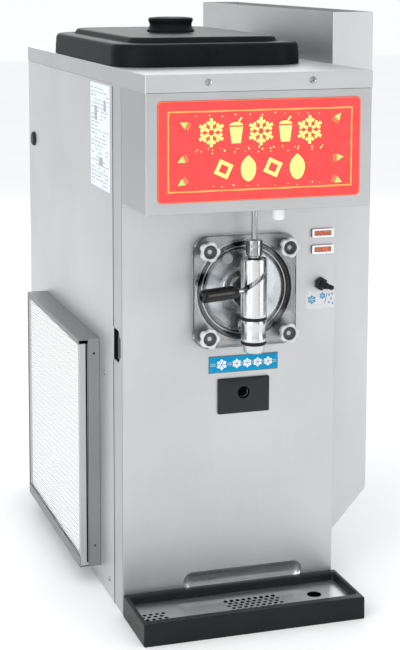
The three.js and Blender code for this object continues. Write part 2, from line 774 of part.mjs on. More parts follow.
function doorKnob(index, x, z) {
  const face = knobBack - knobLength;
  const knob = frontPlate(starOutline(), face, knobBack)
    .subtract(turnedY(disc(insertRadius + gap, face - 1, knobBack + 1), 12))
    .subtract(turnedY(disc(knobRecess.radius, face - 1, face + knobRecess.depth), 12));
  return piece(`door_knob_${index}`, knob, finish(0xc6c8ca, 0.55, 0), [doorX + x, front, doorZ + z]);
}

function knobInsert(index, x, z) {
  const ring = tube(studRadius + gap, insertRadius, knobBack - knobLength + knobRecess.depth, knobBack);
  const place = [doorX + x, front, doorZ + z];
  return piece(`knob_insert_${index}`, turnedY(ring, 12), steel(), place);
}

// ---------------------------------------------------------------- draw valve

const valvePlace = [doorX, valveY, doorZ];
const restAngle = radians(handleRest);

function radialRod(radius, from, to, angle, z, segments = 12) {
  const geometry = latheZ(disc(radius, from, to), segments).rotateY(Math.PI / 2);
  return solid(geometry.rotateZ(angle).translate(0, 0, z));
}

// The helical slot that lifts the handle as it swings.
function helicalSlot() {
  const radius = handleShaftRadius + slotClearance;
  const swing = radians(handleSwing);
  const strip = ribbon({
    inner: sleeveBore - 3, outer: sleeveRadius + 3, fromAngle: restAngle, toAngle: restAngle + swing,
    fromZ: handleZ, toZ: handleZ + handleLift, width: 2 * radius + slotClearance, steps: 9,
  });
  return solid(strip)
    .add(radialRod(radius, sleeveBore - 3, sleeveRadius + 3, restAngle, handleZ))
    .add(radialRod(radius, sleeveBore - 3, sleeveRadius + 3, restAngle + swing, handleZ + handleLift));
}

function valveSleeve() {
  const lugBack = valveReach + doorFace - gap;
  const half = sleeveLug.width / 2;
  const sleeve = turnedZ(disc(sleeveRadius, sleeveBottom, sleeveTop), 24)
    .add(block(-half, half, 0, lugBack, sleeveLug.bottom, sleeveLug.top))
    .subtract(turnedZ(disc(sleeveBore, sleeveBottom - 1, sleeveTop + 1), 24))
    .subtract(helicalSlot());
  return piece('valve_sleeve', sleeve, chrome(), valvePlace);
}

const upperSealTop = sleeveBottom - gap;
const spoutTop = upperSealTop - sealHeight - gap;
const lowerSealBottom = spoutBottom + spoutTipHeight + gap;
const grooveTop = lowerSealBottom + sealHeight + gap;

function spout() {
  const neckTop = sleeveBottom + 6;
  const tipTop = spoutBottom + spoutTipHeight;
  const profile = [
    [spoutBore, spoutBottom], [spoutTipRadius - 1, spoutBottom], [spoutTipRadius, spoutBottom + 2],
    [spoutTipRadius + 3, tipTop], [spoutTipRadius, tipTop], [spoutTipRadius, grooveTop],
    [spoutRadius, grooveTop], [spoutRadius, spoutTop], [spoutNeckRadius, spoutTop],
    [spoutNeckRadius, neckTop], [spoutBore, neckTop], [spoutBore, spoutBottom],
  ];
  const toDoor = valveReach + doorFace - gap;
  const body = turnedZ(profile, 24)
    .add(alongY(disc(spoutPortRadius + 5, spoutBore + 4, toDoor), 0, spoutPortZ, 12))
    .subtract(alongY(disc(spoutPortRadius, 0, toDoor + 1), 0, spoutPortZ, 12));
  return piece('spout', body, chrome(), valvePlace);
}

function seal(name, inner, outer, bottom) {
  const ring = tube(inner, outer, bottom, bottom + sealHeight);
  return piece(name, turnedZ(ring, 24), blackPlastic(), valvePlace);
}

const plungerBottom = sleeveBottom + 6 + gap;

function valvePlunger() {
  const radius = sleeveBore - gap;
  const body = turnedZ(disc(radius, plungerBottom, plungerTop), 24)
    .subtract(radialRod(handleShaftRadius + gap, 2, radius + 2, restAngle, handleZ));
  return piece('valve_plunger', body, chrome(), valvePlace);
}

function handleShaft() {
  const shaft = radialRod(handleShaftRadius, 2 + gap, handleShaftLength, restAngle, handleZ);
  return piece('handle_shaft', shaft, chrome(), valvePlace);
}

function handleGrip() {
  const bore = handleShaftRadius + gap;
  const boreEnd = handleShaftLength + gap;
  const profile = [
    [bore, gripStart], [gripRadius - 3, gripStart], [gripRadius - 0.5, gripStart + 3],
    [gripRadius, gripStart + 12], [gripRadius, gripEnd - 8], [gripRadius - 2.5, gripEnd - 2.5],
    [gripRadius - 7, gripEnd], [0, gripEnd],
    [0, boreEnd], [bore, boreEnd], [bore, gripStart],
  ];
  const grip = solid(latheZ(profile, 20).rotateY(Math.PI / 2).rotateZ(restAngle).translate(0, 0, handleZ));
  return piece('handle_grip', grip, blackPlastic(), valvePlace);
}

// Foot on the plunger, collar, and the thin rod up into the display box.
function drawRod() {
  const foot = plungerTop + gap;
  const top = displayBottom - doorZ + rodInDisplay;
  const profile = [
    [0, foot], [sleeveBore - 1, foot], [sleeveBore - 1, foot + 5], [rodNeckRadius, foot + 5],
    [rodNeckRadius, rodCap.bottom], [rodCapRadius, rodCap.bottom], [rodCapRadius, rodCap.top],
    [rodRadius, rodCap.top], [rodRadius, top], [0, top],
  ];
  return piece('draw_rod', turnedZ(profile, 20), chrome(), valvePlace);
}

// ---------------------------------------------------------------- controls

function indicatorLight(index, z) {
  const { x, width, height, reach, body } = lightSize;
  const bezel = frontPlate(centredRectangle(width, height, 2.5), -reach - gap, -gap);
  const inside = block(-width / 2 + 3, width / 2 - 3, -gap - 1, body, -height / 2 + 2, height / 2 - 2);
  return piece(`indicator_light_${index}`, bezel.add(inside), finish(0xd9622b, 0.3, 0), [x, front, z]);
}

function toggleSwitch() {
  const nut = turnedY(disc(toggleNutAcross / 2 / Math.cos(Math.PI / 6), -gap - toggleNutHeight, -gap), 6);
  const bush = turnedY(disc(toggleBushRadius, -toggleBushHeight, sheet + 4), 12);
  const { width, height, depth } = toggleBody;
  const inside = block(-width / 2, width / 2, sheet + gap, sheet + gap + depth, -height / 2, height / 2);
  return piece('toggle_switch', joined([nut, bush, inside]), blackPlastic(), [toggleX, front, toggleZ]);
}

const toggleHinge = [toggleX, front - toggleBushHeight - gap - toggleLever.ball, toggleZ];

function toggleStick() {
  const { ball, radius, length } = toggleLever;
  const profile = [
    [0, -length], [radius - 1.4, -length + 0.6], [radius, -length + 3], [radius, -length * 0.45],
    [ball - 0.8, -ball * 0.5], [ball, 0], [ball * 0.8, ball * 0.6], [0, ball],
  ];
  const mesh = piece('toggle_lever', turnedY(profile, 12), blackPlastic(), toggleHinge);
  mesh.rotation.z = radians(toggleTilt);
  return mesh;
}

function adjusterCover() {
  const { width, height, thickness, radius, z } = adjusterPlate;
  const plate = frontPlate(centredRectangle(width, height, radius), -gap - thickness, -gap)
    .subtract(alongY(disc(adjusterHole, -gap - thickness - 1, 1), 0, adjusterZ - z, 16));
  return piece('adjuster_plate', plate, blackPlastic(), [doorX, front, z]);
}

function torqueAdjuster() {
  const face = adjusterSink;
  const slot = block(-adjusterRadius - 1, adjusterRadius + 1, face - 1, face + 3, -1.2, 1.2);
  const body = turnedY(disc(adjusterRadius, face, face + adjusterLength), 20).subtract(slot);
  return piece('torque_adjuster', body, finish(0x3a3b3d, 0.45, 0.4), [doorX, front, adjusterZ]);
}

function controls() {
  const { left, right, bottom, depth } = controlBox;
  const face = sheet + gap;
  const bore = solid(latheZ(disc(adjusterRadius + gap, face - 1, adjusterSink + adjusterLength + gap), 20)
    .rotateX(-Math.PI / 2).translate(doorX, 0, adjusterZ));
  const box = block(left, right, face, face + depth, bottom, controlBoxTop).subtract(bore);
  return piece('control_box', box, painted(0x6f7376), [0, front, 0]);
}

// ---------------------------------------------------------------- drip tray

const trayBack = front - gap;
const trayFront = trayBack - trayDepth;
const trayLeft = -halfWidth - trayOverhang.left;
const trayRight = halfWidth + trayOverhang.right;
const cavity = {
  left: trayLeft + trayWalls.side,
  right: trayRight - trayWalls.side,
  front: trayFront + trayWalls.front,
  back: trayBack - trayWalls.back,
};

function dripTray() {
  const { left, right } = cavity;
  const outline = roundedRectangle(trayLeft, trayRight, trayFront, trayBack, trayRadius);
  const well = roundedRectangle(left, right, cavity.front, cavity.back, 6);
  const sump = block(left + trayLedge, right - trayLedge, cavity.front + trayLedge, cavity.back - trayLedge,
    trayFloor, trayHeight);
  const body = planPlate(outline, 0, trayHeight)
    .subtract(planPlate(well, trayLedgeHeight, trayHeight + 1))
    .subtract(sump);
  return piece('drip_tray', body, blackPlastic());
}

function splashShield() {
  const bottom = trayLedgeHeight + gap;
  const top = bottom + shieldThickness;
  const middle = (cavity.front + cavity.back) / 2;
  const { left, right, front: near, back: far } = cavity;
  let plate = planPlate(roundedRectangle(left + gap, right - gap, near + gap, far - gap, 5), bottom, top);
  for (const slots of [shieldSlots, shieldSideSlots]) {
    for (let i = 0; i < slots.count; i++) {
      const y = middle + (i - (slots.count - 1) / 2) * slots.pitch;
      plate = plate.subtract(block(slots.x - slots.length / 2, slots.x + slots.length / 2,
        y - slots.width / 2, y + slots.width / 2, bottom - 1, top + 1));
    }
  }
  const drainProfile = disc(shieldDrain.radius, bottom - 1, top + 1);
  const drain = solid(latheZ(drainProfile, 20).translate(shieldDrain.x, middle, 0));
  return piece('splash_shield', plate.subtract(drain), finish(0x9a9c9e, 0.5, 0.1));
}

// ---------------------------------------------------------------- air filter

const bracketFace = -halfWidth - gap; // against the left side panel
const filterBackX = bracketFace - bracketReach;
const filterFaceX = filterBackX - gap - filterThickness;

// Spacer ring on the side panel, with a channel below and one above that hold the filter's edges.
// The channels are open at the front, where the filter slides out, and stopped at the back.
function filterBracket() {
  const y0 = filterY - filterWidth / 2;
  const y1 = filterY + filterWidth / 2;
  const lipOuter = filterFaceX - gap - bracketSheet;
  const lipInner = lipOuter + bracketSheet;
  const parts = [
    block(filterBackX, bracketFace, y0, y1, filterBottom, filterTop)
      .subtract(block(filterBackX - 1, bracketFace + 1, y0 + bracketRail, y1 - bracketRail,
        filterBottom + bracketRail, filterTop - bracketRail)),
    block(lipOuter, filterBackX, y0, y1, filterBottom, filterBottom + bracketSheet),
    block(lipOuter, filterBackX, y0, y1, filterTop - bracketSheet, filterTop),
    block(lipOuter, filterBackX, y1 - bracketSheet, y1, filterBottom, filterTop),
    block(lipOuter, lipInner, y0, y1, filterBottom, filterBottom + bracketLips.bottom),
    block(lipOuter, lipInner, y0, y1, filterTop - bracketLips.top, filterTop),
  ];
  return piece('filter_bracket', joined(parts), painted(0x6e7173));
}

const filterEdge = {
  front: filterY - filterWidth / 2 + 2,
  back: filterY + filterWidth / 2 - bracketSheet - gap,
  bottom: filterBottom + bracketSheet + gap,
  top: filterTop - bracketSheet - gap,
};

function filterFrame() {
  const { bottom, top } = filterEdge;
  const ring = block(filterFaceX, filterBackX - gap, filterEdge.front, filterEdge.back, bottom, top)
    .subtract(block(filterFaceX - 1, filterBackX, filterEdge.front + filterRail, filterEdge.back - filterRail,
      bottom + filterRail, top - filterRail));
  return piece('filter_frame', ring, finish(0xc9cccf, 0.4, 0.9));
}

function filterMesh() {
  const inset = filterRail + gap;
  const media = block(filterFaceX + filterMediaInset, filterBackX - gap - filterMediaInset,
    filterEdge.front + inset, filterEdge.back - inset, filterEdge.bottom + inset, filterEdge.top - inset);
  return piece('filter_mesh', media, finish(0xd0d3d6, 0.35, 0.9));
}

// ---------------------------------------------------------------- refrigeration

function condenserCoil() {
  const x1 = condenserBack;
  const x0 = x1 - condenser.thickness;
  const y0 = filterY - filterWidth / 2 + bracketRail + condenser.margin;
  const y1 = filterY + filterWidth / 2 - bracketRail - condenser.margin;
  const top = filterTop - bracketRail;
  const floor = frameFloor + gap;
  const core = block(x0 + 4, x1 - 4, y0, y1, condenser.bottom, top);
  const ends = [y0, y1 - condenser.foot].map((y) => block(x0, x1, y, y + condenser.foot, floor, top + 6));
  return piece('condenser', joined([core, ...ends]), painted(0x4b4e52));
}

const fanPlace = [condenserBack + fanBehindCondenser, filterY, filterMidZ];

function condenserFan() {
  const blades = [turnedX(disc(fanHub, 0, fanDepth), 20)];
  for (let i = 0; i < fanBlades; i++) {
    const blade = new THREE.BoxGeometry(3, fanRadius * 0.5, fanRadius - fanHub + 6);
    blade.rotateZ(radians(22)).translate(fanDepth / 2, 0, (fanRadius + fanHub - 6) / 2);
    blades.push(solid(blade.rotateX((i / fanBlades) * 2 * Math.PI)));
  }
  const reach = fanRadius + 1;
  const depthLimit = block(0, fanDepth, -reach, reach, -reach, reach);
  return piece('condenser_fan', joined(blades).intersect(depthLimit), painted(0x2d2f31), fanPlace);
}

function fanDrive() {
  const from = fanDepth + 3;
  const { radius, length, post } = fanMotor;
  const body = turnedX(disc(radius, from, from + length), 24);
  const foot = frameFloor + gap - fanPlace[2];
  const leg = block(from + length / 2 - post / 2, from + length / 2 + post / 2, -post / 2, post / 2, foot, 0);
  return piece('fan_motor', body.add(leg), painted(0x1f2123), fanPlace);
}

function compressorShell() {
  const { x, behindFront, radius, height } = compressor;
  const profile = [
    [0, 0], [radius, 0], [radius, height * 0.82], [radius * 0.86, height * 0.94],
    [radius * 0.4, height], [0, height],
  ];
  const place = [x, front + behindFront, frameFloor + gap];
  return piece('compressor', turnedZ(profile, 20), painted(0x17181a), place);
}

// ---------------------------------------------------------------- beater and its drive

function beaterFrame() {
  const { strip: depth, bar, turns, blade } = beater;
  const radius = beaterRadius;
  const inner = radius - depth;
  const frontFace = bearingReach.back + 4;
  const rearFace = cylinderLength - cylinderWall - 8;
  const hubDepth = 14;
  const ring = tube(inner, radius, frontFace, frontFace + bar);
  const parts = [
    turnedY(ring, 24),
    block(-inner - 4, inner + 4, frontFace, frontFace + bar, -9, 9),
    turnedY(disc(6, doorFace + 5, frontFace + 1), 16),
    turnedY(disc(radius, rearFace - bar, rearFace), 24),
    turnedY(disc(shaftRadius + 8, rearFace - hubDepth, rearFace), 24),
  ];
  for (const start of [0, Math.PI]) {
    const strip = ribbon({
      inner, outer: radius, fromAngle: start, toAngle: start + turns * 2 * Math.PI,
      fromZ: frontFace + blade / 2, toZ: rearFace - blade / 2, width: blade, steps: 15,
    });
    parts.push(solid(strip.rotateX(-Math.PI / 2)));
  }
  const socket = turnedY(disc(shaftRadius + gap, rearFace - hubDepth + 3, rearFace + 1), 20);
  return piece('beater', joined(parts).subtract(socket), steel(), doorPlace);
}

function driveShaft() {
  const from = cylinderLength - cylinderWall - 8 - 14 + 3 + gap;
  const shaft = turnedY(disc(shaftRadius, from, reducerFront + reducer.bore - 2), 20);
  return piece('drive_shaft', shaft, steel(), doorPlace);
}

function gearReducer() {
  const { width, height, depth, bore } = reducer;
  const body = block(-width / 2, width / 2, reducerFront, reducerFront + depth, -height / 2, height / 2)
    .subtract(turnedY(disc(shaftRadius + gap, reducerFront - 1, reducerFront + bore), 20))
    .subtract(turnedY(disc(pulleyShaftRadius + gap, reducerBack - bore, reducerBack + 1), 16));
  return piece('gear_reducer', body, painted(0x5d6468), doorPlace);
}

// A V-belt pulley and its shaft, which runs forward into the machine that it turns.
// A grooved wheel with the shaft that reaches forward into the bore whose floor is at boreFloor.
function pulley(name, grooveRadius, boreFloor, place) {
  const rim = grooveRadius + beltThickness;
  const shaftFrom = boreFloor + shaftEndPlay - pulleyFront;
  const profile = [
    [0, shaftFrom], [pulleyShaftRadius, shaftFrom], [pulleyShaftRadius, 0], [rim, 0], [rim, pulleyRim],
    [grooveRadius, pulleyRim], [grooveRadius, pulleyWidth - pulleyRim], [rim, pulleyWidth - pulleyRim],
    [rim, pulleyWidth], [0, pulleyWidth],
  ];
  return piece(name, turnedY(profile, 16), painted(0x3a3d40), place);
}

const motorBack = front + motor.behindFront + motor.length;

function driveMotor() {
  const from = front + motor.behindFront;
  const body = turnedY(disc(motor.radius, from, motorBack), 20)
    .subtract(turnedY(disc(pulleyShaftRadius + gap, motorBack - motor.bore, motorBack + 1), 16));
  return piece('drive_motor', body, painted(0x33373a), [motor.x, 0, motor.z]);
}

function beltOutline(grow) {
  const dx = motor.x - doorX;
  const dz = motor.z - doorZ;
  const along = Math.atan2(dz, dx);
  const spread = Math.acos((drivenPulley - motorPulley) / Math.hypot(dx, dz));
  const shape = new THREE.Shape();
  shape.absarc(doorX, doorZ, drivenPulley + grow, along + spread, along - spread + 2 * Math.PI);
  shape.absarc(motor.x, motor.z, motorPulley + grow, along - spread, along + spread);
  shape.closePath();
  return shape;
}

function driveBelt() {
  const from = pulleyFront + pulleyRim + gap;
  const to = pulleyFront + pulleyWidth - pulleyRim - gap;
  const belt = frontPlate(beltOutline(beltThickness - 1), from, to, 12)
    .subtract(frontPlate(beltOutline(beltClearance), from - 1, to + 1, 12));
  return piece('drive_belt', belt, blackPlastic());
}

// ---------------------------------------------------------------- the machine

const machine = new THREE.Group();
machine.add(
  cabinetFrame(), frontPanel(), leftSidePanel(), sidePanel('right_side_panel', 1, outletShape()), rearPanel(),
  topCover(), hopper(), feedTube(), hopperLid(), dischargeChute(), chuteGrille(),
  displayHousing(), displayPanel(), displayLamp(), drawSwitch(),
  freezingCylinder(), cylinderInsulation(), freezerDoor(), doorGasket(), frontBearing(), primingPlug(),
  valveSleeve(), spout(),
  seal('upper_seal', spoutNeckRadius + gap, sleeveRadius, spoutTop + gap),
  seal('lower_seal', spoutTipRadius + gap, sleeveRadius - 1, lowerSealBottom),
  valvePlunger(), handleShaft(), handleGrip(), drawRod(),
  indicatorLight(1, lightHeights[0]), indicatorLight(2, lightHeights[1]), toggleSwitch(), toggleStick(),
  adjusterCover(), torqueAdjuster(), controls(), dripTray(), splashShield(),
  filterBracket(), filterFrame(), filterMesh(),
  condenserCoil(), condenserFan(), fanDrive(), compressorShell(),
  beaterFrame(), driveShaft(), gearReducer(), driveMotor(), driveBelt(),
  pulley('driven_pulley', drivenPulley, front + reducerBack - reducer.bore, [doorX, pulleyFront, doorZ]),
  pulley('motor_pulley', motorPulley, motorBack - motor.bore, [motor.x, pulleyFront, motor.z]),
);
studPlaces().forEach(([x, z], i) => machine.add(doorKnob(i + 1, x, z), knobInsert(i + 1, x, z)));

export default machine;
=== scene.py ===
# The looks of a counter-top slushie machine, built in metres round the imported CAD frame.
# +X is the machine's right seen from the front, +Y its back, +Z up.
# The origin is under the middle of the cabinet.

import json
import math
import random

import bmesh
import bpy
from mathutils import Matrix, Vector

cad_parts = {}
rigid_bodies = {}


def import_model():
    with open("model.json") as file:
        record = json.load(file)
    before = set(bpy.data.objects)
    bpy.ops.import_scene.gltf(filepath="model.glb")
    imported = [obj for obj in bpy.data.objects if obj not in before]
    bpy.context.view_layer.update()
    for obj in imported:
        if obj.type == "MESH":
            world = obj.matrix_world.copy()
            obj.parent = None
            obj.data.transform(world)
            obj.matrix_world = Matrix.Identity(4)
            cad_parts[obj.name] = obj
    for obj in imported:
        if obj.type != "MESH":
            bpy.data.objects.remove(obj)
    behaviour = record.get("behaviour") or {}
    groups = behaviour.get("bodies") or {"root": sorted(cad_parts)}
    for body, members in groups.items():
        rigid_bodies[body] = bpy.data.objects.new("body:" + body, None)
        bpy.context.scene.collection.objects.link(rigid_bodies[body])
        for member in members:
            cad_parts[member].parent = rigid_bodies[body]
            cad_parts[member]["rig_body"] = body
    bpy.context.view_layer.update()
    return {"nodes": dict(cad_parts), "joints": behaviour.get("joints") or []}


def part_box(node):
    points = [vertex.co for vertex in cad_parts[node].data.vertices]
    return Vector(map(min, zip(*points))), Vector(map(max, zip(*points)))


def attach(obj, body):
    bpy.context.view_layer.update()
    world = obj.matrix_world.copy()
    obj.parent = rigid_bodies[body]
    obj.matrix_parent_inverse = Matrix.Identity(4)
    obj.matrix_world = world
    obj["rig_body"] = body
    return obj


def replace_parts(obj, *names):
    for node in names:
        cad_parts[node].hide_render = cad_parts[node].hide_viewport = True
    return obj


MM = 0.001

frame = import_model()

# ---------------------------------------------------------------- measures taken from the frame

def middle(node):
    low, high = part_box(node)
    return (low + high) / 2


LEFT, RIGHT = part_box("front_panel")[0].x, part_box("front_panel")[1].x
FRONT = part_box("front_panel")[0].y
DOOR_LOW, DOOR_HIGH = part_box("freezer_door")
DOOR = (DOOR_LOW + DOOR_HIGH) / 2
DOOR_FACE = DOOR_LOW.y
SLEEVE_LOW, SLEEVE_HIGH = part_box("valve_sleeve")
ROD_LOW, ROD_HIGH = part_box("draw_rod")
VALVE = (ROD_LOW + ROD_HIGH) / 2
SIGN_LOW, SIGN_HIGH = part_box("display_panel")
SIGN = (SIGN_LOW + SIGN_HIGH) / 2
COVER_LOW, COVER_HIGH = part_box("top_cover")
HOUSING_LOW, HOUSING_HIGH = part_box("display_housing")
JOINTS = {joint["name"]: joint for joint in frame["joints"]}

PRIME = middle("prime_plug")
STUD_X, STUD_Z = 75 * MM, 78 * MM  # a handscrew stud's place from the door's middle
STUDS = [(x * STUD_X, z * STUD_Z) for x, z in ((-1, 1), (1, 1), (-1, -1), (1, -1))]
HANDLE_ANGLE = math.radians(197)  # where the handle points when the valve is shut, from +X

PROUD = 0.25 * MM  # how far a printed film stands off the face under it
SEAT = 0.3 * MM  # the gap between the front panel and what is fastened to it
DOOR_SEAT = 0.4 * MM  # the gap between the door's face and the valve


# ---------------------------------------------------------------- materials

def shader(name, **sockets):
    """A principled material with its uniform values on the shader's own sockets."""
    material = bpy.data.materials.new(name)
    material.use_nodes = True
    bsdf = material.node_tree.nodes["Principled BSDF"]
    for socket, value in sockets.items():
        bsdf.inputs[socket.replace("_", " ")].default_value = value
    return material, material.node_tree, bsdf


def field(tree, kind, scale, rotation=(0, 0, 0), **settings):
    """A procedural texture over the object's own coordinates, which are the frame's metres."""
    coordinates = tree.nodes.new("ShaderNodeTexCoord")
    mapping = tree.nodes.new("ShaderNodeMapping")
    mapping.inputs["Scale"].default_value = scale if hasattr(scale, "__len__") else (scale,) * 3
    mapping.inputs["Rotation"].default_value = rotation
    texture = tree.nodes.new(kind)
    texture.inputs["Scale"].default_value = 1
    for socket, value in settings.items():
        if socket in texture.inputs:
            texture.inputs[socket].default_value = value
        else:
            setattr(texture, socket, value)
    tree.links.new(coordinates.outputs["Object"], mapping.inputs["Vector"])
    tree.links.new(mapping.outputs["Vector"], texture.inputs["Vector"])
    return texture.outputs["Distance" if kind == "ShaderNodeTexVoronoi" else 0]


def noise(tree, scale, detail=3.0):
    return field(tree, "ShaderNodeTexNoise", scale, Detail=detail)


def mixed(tree, first, second, share):
    """Two textures in one, with that share of the second."""
    node = tree.nodes.new("ShaderNodeMix")
    node.inputs["Factor"].default_value = share
    tree.links.new(first, node.inputs["A"])
    tree.links.new(second, node.inputs["B"])
    return node.outputs["Result"]


def spread(tree, source, low, high, start=0.3, end=0.7):
    """The texture's middle range stretched to low and high."""
    node = tree.nodes.new("ShaderNodeMapRange")
    node.inputs["From Min"].default_value = start
    node.inputs["From Max"].default_value = end
    node.inputs["To Min"].default_value = low
    node.inputs["To Max"].default_value = high
    tree.links.new(source, node.inputs["Value"])
    return node.outputs["Result"]


def two_tone(tree, bsdf, source, dark, light, start=0.3, end=0.7):
    """A base colour that wanders between two tones."""
    ramp = tree.nodes.new("ShaderNodeValToRGB")
    ramp.color_ramp.elements[0].position = start
    ramp.color_ramp.elements[0].color = (*dark, 1)
    ramp.color_ramp.elements[1].position = end
    ramp.color_ramp.elements[1].color = (*light, 1)
    tree.links.new(source, ramp.inputs["Fac"])
    tree.links.new(ramp.outputs["Color"], bsdf.inputs["Base Color"])


def relief(tree, bsdf, source, depth, strength=1.0):
    """Bump from a texture, depth in metres."""
    node = tree.nodes.new("ShaderNodeBump")
    node.inputs["Strength"].default_value = strength
    node.inputs["Distance"].default_value = depth
    tree.links.new(source, node.inputs["Height"])
    tree.links.new(node.outputs["Normal"], bsdf.inputs["Normal"])


def shade(tone):
    """A grey, slightly cool."""
    return (tone * 0.985, tone, tone * 1.015)


def brushed_steel(name, grain="Z", tone=0.57, roughness=0.47):
    """Sheet steel with its brushing along one axis, faint smears and a cloudy sheen."""
    material, tree, bsdf = shader(name, Metallic=1.0)
    across, along = 1500.0, 9.0
    scale = [along if axis == grain else across for axis in "XYZ"]
    hairs = noise(tree, scale, detail=2.0)
    clouds = noise(tree, 5.0, detail=3.0)
    two_tone(tree, bsdf, mixed(tree, hairs, clouds, 0.55), shade(tone * 0.92), shade(tone * 1.08))
    tree.links.new(spread(tree, hairs, roughness - 0.05, roughness + 0.08), bsdf.inputs["Roughness"])
    relief(tree, bsdf, hairs, 0.004 * MM, 0.3)
    return material


def chrome(name, tone=0.8, roughness=0.07):
    """Polished metal with fine handling scratches."""
    material, tree, bsdf = shader(name, Metallic=1.0)
    haze = noise(tree, 60.0)
    scratches = noise(tree, (900.0, 900.0, 60.0), detail=2.0)
    two_tone(tree, bsdf, haze, shade(tone * 0.94), shade(tone))
    tree.links.new(spread(tree, scratches, roughness * 0.6, roughness * 1.6), bsdf.inputs["Roughness"])
    relief(tree, bsdf, scratches, 0.002 * MM, 0.3)
    return material


def moulded(name, colour, roughness=0.45, grain=700.0, depth=0.03, lift=1.25, **sockets):
    """Moulded plastic: a fine spark texture, a cloudy tone and uneven gloss."""
    material, tree, bsdf = shader(name, **sockets)
    clouds = noise(tree, 14.0)
    pits = noise(tree, grain, detail=2.0)
    two_tone(tree, bsdf, clouds, [c * 0.92 for c in colour], [min(1.0, c * lift) for c in colour])
    tree.links.new(spread(tree, pits, roughness - 0.06, roughness + 0.1), bsdf.inputs["Roughness"])
    relief(tree, bsdf, pits, depth * MM, 0.5)
    return material


def cast_metal(name, tone, roughness=0.5):
    """Sand-cast aluminium with a coarse skin."""
    material, tree, bsdf = shader(name, Metallic=0.9)
    skin = noise(tree, 420.0, detail=5.0)
    two_tone(tree, bsdf, skin, shade(tone * 0.75), shade(tone * 1.1))
    tree.links.new(spread(tree, skin, roughness - 0.1, roughness + 0.12), bsdf.inputs["Roughness"])
    relief(tree, bsdf, skin, 0.12 * MM, 0.6)
    return material


def painted(name, colour, roughness=0.4):
    """Sprayed paint with a slight orange peel and dust in the low spots."""
    material, tree, bsdf = shader(name, Coat_Weight=0.25, Coat_Roughness=0.2)
    peel = noise(tree, 260.0, detail=2.0)
    dust = noise(tree, 9.0, detail=5.0)
    two_tone(tree, bsdf, dust, colour, [c * 0.8 + 0.03 for c in colour])
    tree.links.new(spread(tree, dust, roughness, roughness + 0.2), bsdf.inputs["Roughness"])
    relief(tree, bsdf, peel, 0.05 * MM, 0.4)
    return material


def clear_plastic(name):
    """The thick clear door, faintly smoky with polishing marks."""
    material, tree, bsdf = shader(name, Transmission_Weight=1.0, IOR=1.49)
    swirls = noise(tree, 40.0, detail=4.0)
    two_tone(tree, bsdf, swirls, (0.9, 0.91, 0.92), (0.97, 0.98, 0.985))
    tree.links.new(spread(tree, swirls, 0.0, 0.03), bsdf.inputs["Roughness"])
    relief(tree, bsdf, swirls, 0.15 * MM, 0.2)
    return material


def sign_face(name):
    """A translucent red sheet, evenly lit from behind, with a faint mottle in the ink."""
    material, tree, bsdf = shader(name, Specular_IOR_Level=0.3, Emission_Strength=0.08)
    bsdf.inputs["Emission Color"].default_value = (1.0, 0.05, 0.05, 1)
    mottle = noise(tree, 55.0, detail=4.0)
    two_tone(tree, bsdf, mottle, (0.75, 0.052, 0.05), (0.81, 0.064, 0.061))
    tree.links.new(spread(tree, mottle, 0.32, 0.44), bsdf.inputs["Roughness"])
    relief(tree, bsdf, noise(tree, 500.0), 0.01 * MM, 0.3)
    return material


def ink(name, colour, glow=0.0):
    """Screen-printed ink with small unevenness."""
    material, tree, bsdf = shader(name, Emission_Strength=glow, Specular_IOR_Level=0.12)
    bsdf.inputs["Emission Color"].default_value = (*colour, 1)
    patches = noise(tree, 180.0, detail=4.0)
    two_tone(tree, bsdf, patches, [c * 0.9 for c in colour], [min(1.0, c * 1.05) for c in colour])
    tree.links.new(spread(tree, patches, 0.38, 0.52), bsdf.inputs["Roughness"])
    relief(tree, bsdf, patches, 0.01 * MM, 0.3)
    return material


def amber_lens(name):
    """A ribbed amber lens."""
    material, tree, bsdf = shader(name, Transmission_Weight=0.15, Coat_Weight=0.6, Coat_Roughness=0.08)
    ribs = field(tree, "ShaderNodeTexWave", (900.0, 1.0, 1.0), bands_direction="X", Distortion=0.0)
    mottle = noise(tree, (260.0, 260.0, 420.0), detail=3.0)
    two_tone(tree, bsdf, mottle, (0.42, 0.06, 0.02), (0.72, 0.2, 0.09))
    tree.links.new(spread(tree, mottle, 0.2, 0.35), bsdf.inputs["Roughness"])
    relief(tree, bsdf, ribs, 0.05 * MM, 0.4)
    return material


CRIMP_PITCH = 5.2 * MM
CRIMP_SLANT = math.radians(4)
CRIMP_RATE = 2 * math.pi / 20 / CRIMP_PITCH  # a wave texture repeats every pi/10


def crimped_mesh(name):
    """The filter's layered aluminium mesh: slanted crimps over a fine weave."""
    material, tree, bsdf = shader(name, Metallic=0.35)
    crimps = field(tree, "ShaderNodeTexWave", (1.0, CRIMP_RATE, CRIMP_RATE), rotation=(CRIMP_SLANT, 0, 0),
                   bands_direction="Z", Distortion=3.0, Detail=3.0)
    weave = field(tree, "ShaderNodeTexVoronoi", (420.0, 420.0, 420.0))
    mesh = mixed(tree, crimps, weave, 0.3)
    # The two tones follow the crimps' folds, painted light and shade, mixed with the weave's own pattern.
    two_tone(tree, bsdf, mesh, (0.42, 0.43, 0.44), (0.95, 0.96, 0.97), 0.12, 0.55)
    tree.links.new(spread(tree, weave, 0.35, 0.6, 0.0, 0.8), bsdf.inputs["Roughness"])
    relief(tree, bsdf, mesh, 1.2 * MM, 0.8)
    return material


def finned_coil(name):
    """The condenser's face: thin fins as light bands, with painted shade in the gaps between them."""
    material, tree, bsdf = shader(name, Metallic=0.85)
    fins = field(tree, "ShaderNodeTexWave", (1.0, 1500.0, 1.0), bands_direction="Y", Distortion=0.0)
    dust = noise(tree, 12.0, detail=5.0)
    # The dark tone between the light fin bands is painted shade in the gaps.
    two_tone(tree, bsdf, fins, (0.09, 0.095, 0.1), (0.5, 0.51, 0.52))
    tree.links.new(spread(tree, dust, 0.35, 0.65), bsdf.inputs["Roughness"])
    relief(tree, bsdf, fins, 0.5 * MM, 0.8)
    return material


